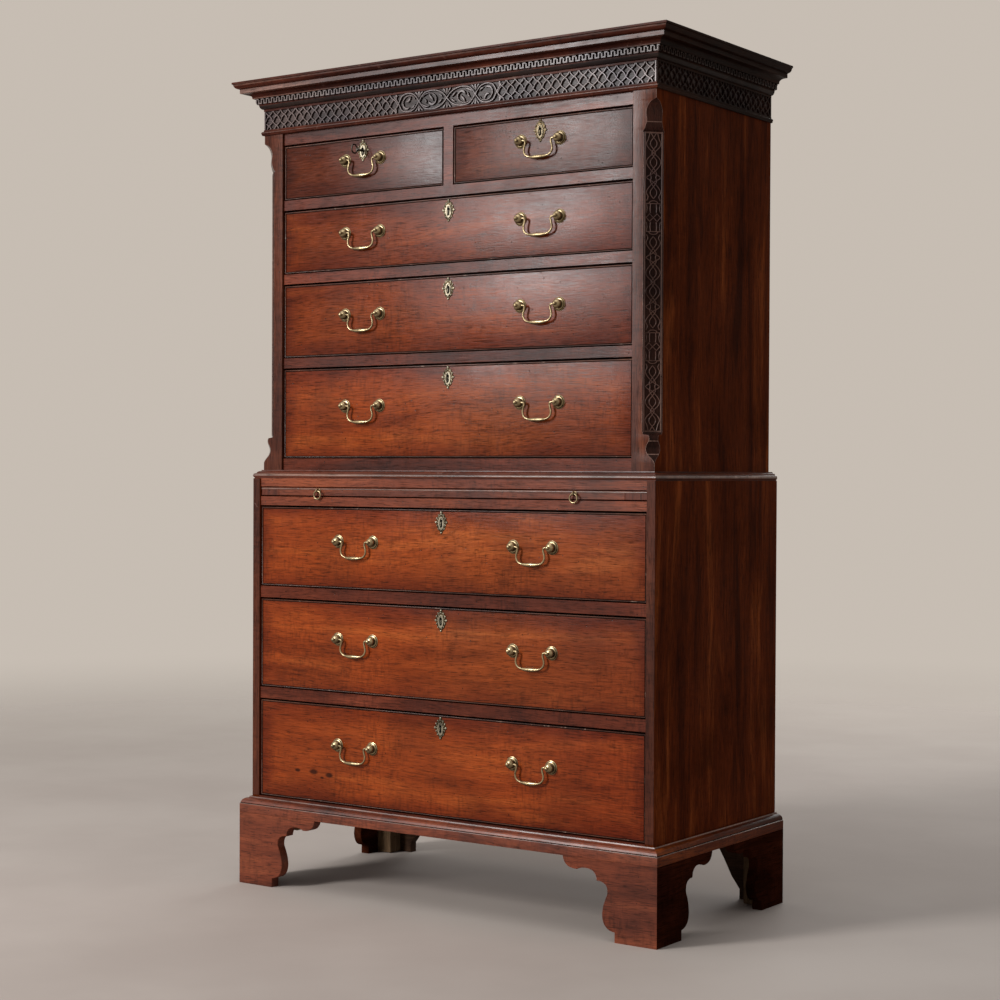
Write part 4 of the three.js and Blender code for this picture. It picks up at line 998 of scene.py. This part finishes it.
# The two tints that a front takes on towards its right: painted sheen and painted shade
ENDS = {"lower_drawer_3": ((1, 1.16, 1.45), (0.92, 1.1, 1.65)),
        "lower_drawer_2": ((1, 1.18, 1.5), (0.74, 0.8, 1.2)),
        "upper_drawer_1": ((1, 1.18, 1.3), (0.8, 0.86, 1.1))}
KNOTS = {"lower_drawer_1": ((-392, 261, 3.4), (-346, 261, 5.2), (-302, 257, 4.6), (-322, 250, 2.2))}
for name, x0, x1, z0, z1, rise, handles, tone, seed in DRAWERS:
    body, lock, low = name.replace("_drawer", ""), sum(handles), z0 < WAIST
    face, rear = (LOWER_FACE, 475.5) if low else (UPPER_FACE, 466.5)
    front_wood = wood(f"wood_{name}", "X", [scaled(colour, tone) for colour in RED], seed=seed, rough=0.25,
                      spec=0.145, blotch=0.17, mottle=0.1, cool=0.6, specks=1 if low else 1.3,
                      field=(x0, x1, z0, z1), ends=ENDS.get(name, PAINTED_SHADE_ENDS), marks=KNOTS.get(name, ()))
    left, right = x0 + 1.5, x1 - 1.5
    front_panel(f"{name}_panel", left, right, z0 + 1.5, z1 - 3.5, face, front_wood, body, f"{name}_front")
    drawer_box(f"{name}_lining", left, right, z0 + 0.3, z1 - 9, face + FRONT_THICK, rear, body, f"{name}_box")
    lock_plate(f"{name}_lock_plate", lock, face, z1 - LOCK_DOWN, body)
    lock_case(f"{name}_lock", lock, face, z1 - LOCK_DOWN, body)
    for x in handles:
        hand = "" if len(handles) == 1 else ("_left" if x < 0 else "_right")
        handle(f"{name}_handle{hand}", x, face, z0 + rise, body, f"{body}_bail{hand}", f"{name}_bail{hand}")

# Key

p = Part()
kx, ky, kz = -HANDLE_X, UPPER_FACE, SHORT_TOP - LOCK_DOWN
p.tube([(kx, ky - 30 + 8.7 * cos(t), kz + 10 * sin(t) * (1 + 0.06 * cos(2 * t))) for t in turn(40)], 1.6, 10,
       closed=True)
p.lathe([(0, 22.6), (2.4, 22.2), (2.9, 21.4), (2.3, 20.6), (2.4, 19.6), (4.1, 19.2), (4.2, 18.2), (2.9, 17.6),
         (2.6, 16.6), (3.2, 16), (2.6, 15.3), (2.6, 1), (2.6, -30), (0, -30.2)], (kx, ky, kz), sides=20)
p.box((kx - 1.2, ky + 22.5, kz - 11), (kx + 1.2, ky + 30.5, kz), 0, 0.3)
make("key_iron", p, [iron], "drawer_key", ("key",), angle=45)

# Brushing slide with clamped ends, and its ring pulls

slide_wood = wood("wood_slide", "X", DEEP, seed=30.2, rough=0.31, spec=0.26)
slide_end = wood("wood_slide_end", "Z", DEEP, seed=31, rough=0.32, spec=0.24, mottle=0.05)
sy, s0, s1, rear = 4.5, 864.4, 882.2, 441.5
p = Part()
p.box((-448, sy, s0), (448, rear, s1), 0, 0.7)
for x0, x1 in ((-498.5, -448.3), (448.3, 498.5)):
    p.box((x0, sy, s0), (x1, rear, s1), 1, 0.7)
# The bead along the slide's top, in the light edge wood: a painted highlight with wear
p.loft([[(x, sy - 0.1, s1 - 4.6), (x, sy - 0.8, s1 - 4.1), (x, sy - 1.1, s1 - 3), (x, sy - 0.8, s1 - 1.9),
         (x, sy, s1 - 1.2), (x, sy + 0.5, s1 - 3)] for x in (-498, 498)], 2)
make("brushing_slide_boards", p, [slide_wood, slide_end, edge], "slide", ("brushing_slide",))
for hand, s in HANDS:
    x, y, z = s * 332, sy - 6.5, 876
    p = Part()
    p.lathe([(4.9, -0.2), (5, 0.5), (4.4, 1.3), (3, 1.8), (2.6, 2.6), (2.4, 3.6)], (x, sy, z), sides=20)
    p.tube([(x, y + 3.4 * cos(t), z + 3.4 * sin(t)) for t in turn(24)], 1.5, 10, closed=True)
    make(f"ring_eye_{hand}", p, [brass], "slide", angle=50)
    p = Part()
    r = 9
    p.tube([(x + r * sin(t), y, z - 0.7 - r + r * cos(t)) for t in turn(40)], 1.7, 12, closed=True)
    make(f"ring_pull_{hand}_ring", p, [brass], f"slide_ring_{hand}", (f"ring_pull_{hand}",), angle=50)

# Floor, light and camera, in metres

FLOOR_RADIUS = 6
m, nt, bsdf = nodes_of("floor_pale")
still = node(nt, "TexCoord").outputs["Object"]
plain = ramp(nt, noise(nt, still, 1.6, 4), [(0.3, (0.43, 0.37, 0.33)), (0.7, (0.48, 0.42, 0.375))])
share = maths(nt, "DIVIDE", vectors(nt, "LENGTH", still), FLOOR_RADIUS)
fill(nt, bsdf, Base_Color=plain, Roughness=0.8, Alpha=ramp(nt, share, [(0.2, 1), (1, 0)]))
mesh = bpy.data.meshes.new("floor")
rim = [(FLOOR_RADIUS * cos(t), FLOOR_RADIUS * sin(t), 0) for t in turn(96)]
mesh.from_pydata(rim, [], [list(range(len(rim)))])
mesh.materials.append(m)
floor = new_object("floor", mesh)

world = bpy.data.worlds.new("studio")
bpy.context.scene.world = world
world.use_nodes = True
nt = world.node_tree
ray = node(nt, "LightPath").outputs
seen = maths(nt, "MAXIMUM", ray["Is Camera Ray"], ray["Is Glossy Ray"])
seen = maths(nt, "MAXIMUM", seen, ray["Is Transmission Ray"])
backdrop = mix(nt, "MIX", seen, (0.27, 0.27, 0.275), (0.57, 0.51, 0.45))
fill(nt, nt.nodes["Background"], Color=backdrop, Strength=1)


def lamp(name, at, target, size, watts):
    data = bpy.data.lights.new(name, "AREA")
    data.shape = "RECTANGLE"
    data.size, data.size_y = size
    data.energy = watts
    obj = new_object(name, data)
    obj.location = at
    obj.rotation_euler = (Vector(target) - Vector(at)).to_track_quat("-Z", "Y").to_euler()


lamp("key_light", (-2.25, -4.3, 2.6), (0, -0.2, 1), (1.05, 1.9), 200)
lamp("top_light", (-0.4, -1.2, 4.4), (0, 0, 0.9), (3, 3), 45)
lamp("back_light", (-0.8, 4.8, 2.6), (0, 0, 0.9), (2.4, 2.4), 70)

# The camera that was fitted to the photograph, with its focal length in pixels of the picture
FOCAL, PICTURE = 2011.15, 1000
camera = bpy.data.cameras.new("camera")
camera.sensor_width = 36
camera.lens = FOCAL / PICTURE * camera.sensor_width
camera.clip_end = 100
eye = new_object("camera", camera)
azimuth, pitch, roll = radians(35.12), radians(-0.8), radians(0.252)
forward = Vector((-sin(azimuth) * cos(pitch), cos(azimuth) * cos(pitch), sin(pitch)))
right = Vector((cos(azimuth), sin(azimuth), 0))
up = right.cross(forward)
right, up = right * cos(roll) + up * sin(roll), up * cos(roll) - right * sin(roll)
rotation = Matrix((right, up, -forward)).transposed()
eye.matrix_world = Matrix.Translation(place((2509.5, -3350.9, 918.3))) @ rotation.to_4x4()
bpy.context.scene.camera = eye
bpy.context.scene.view_settings.view_transform = "Standard"
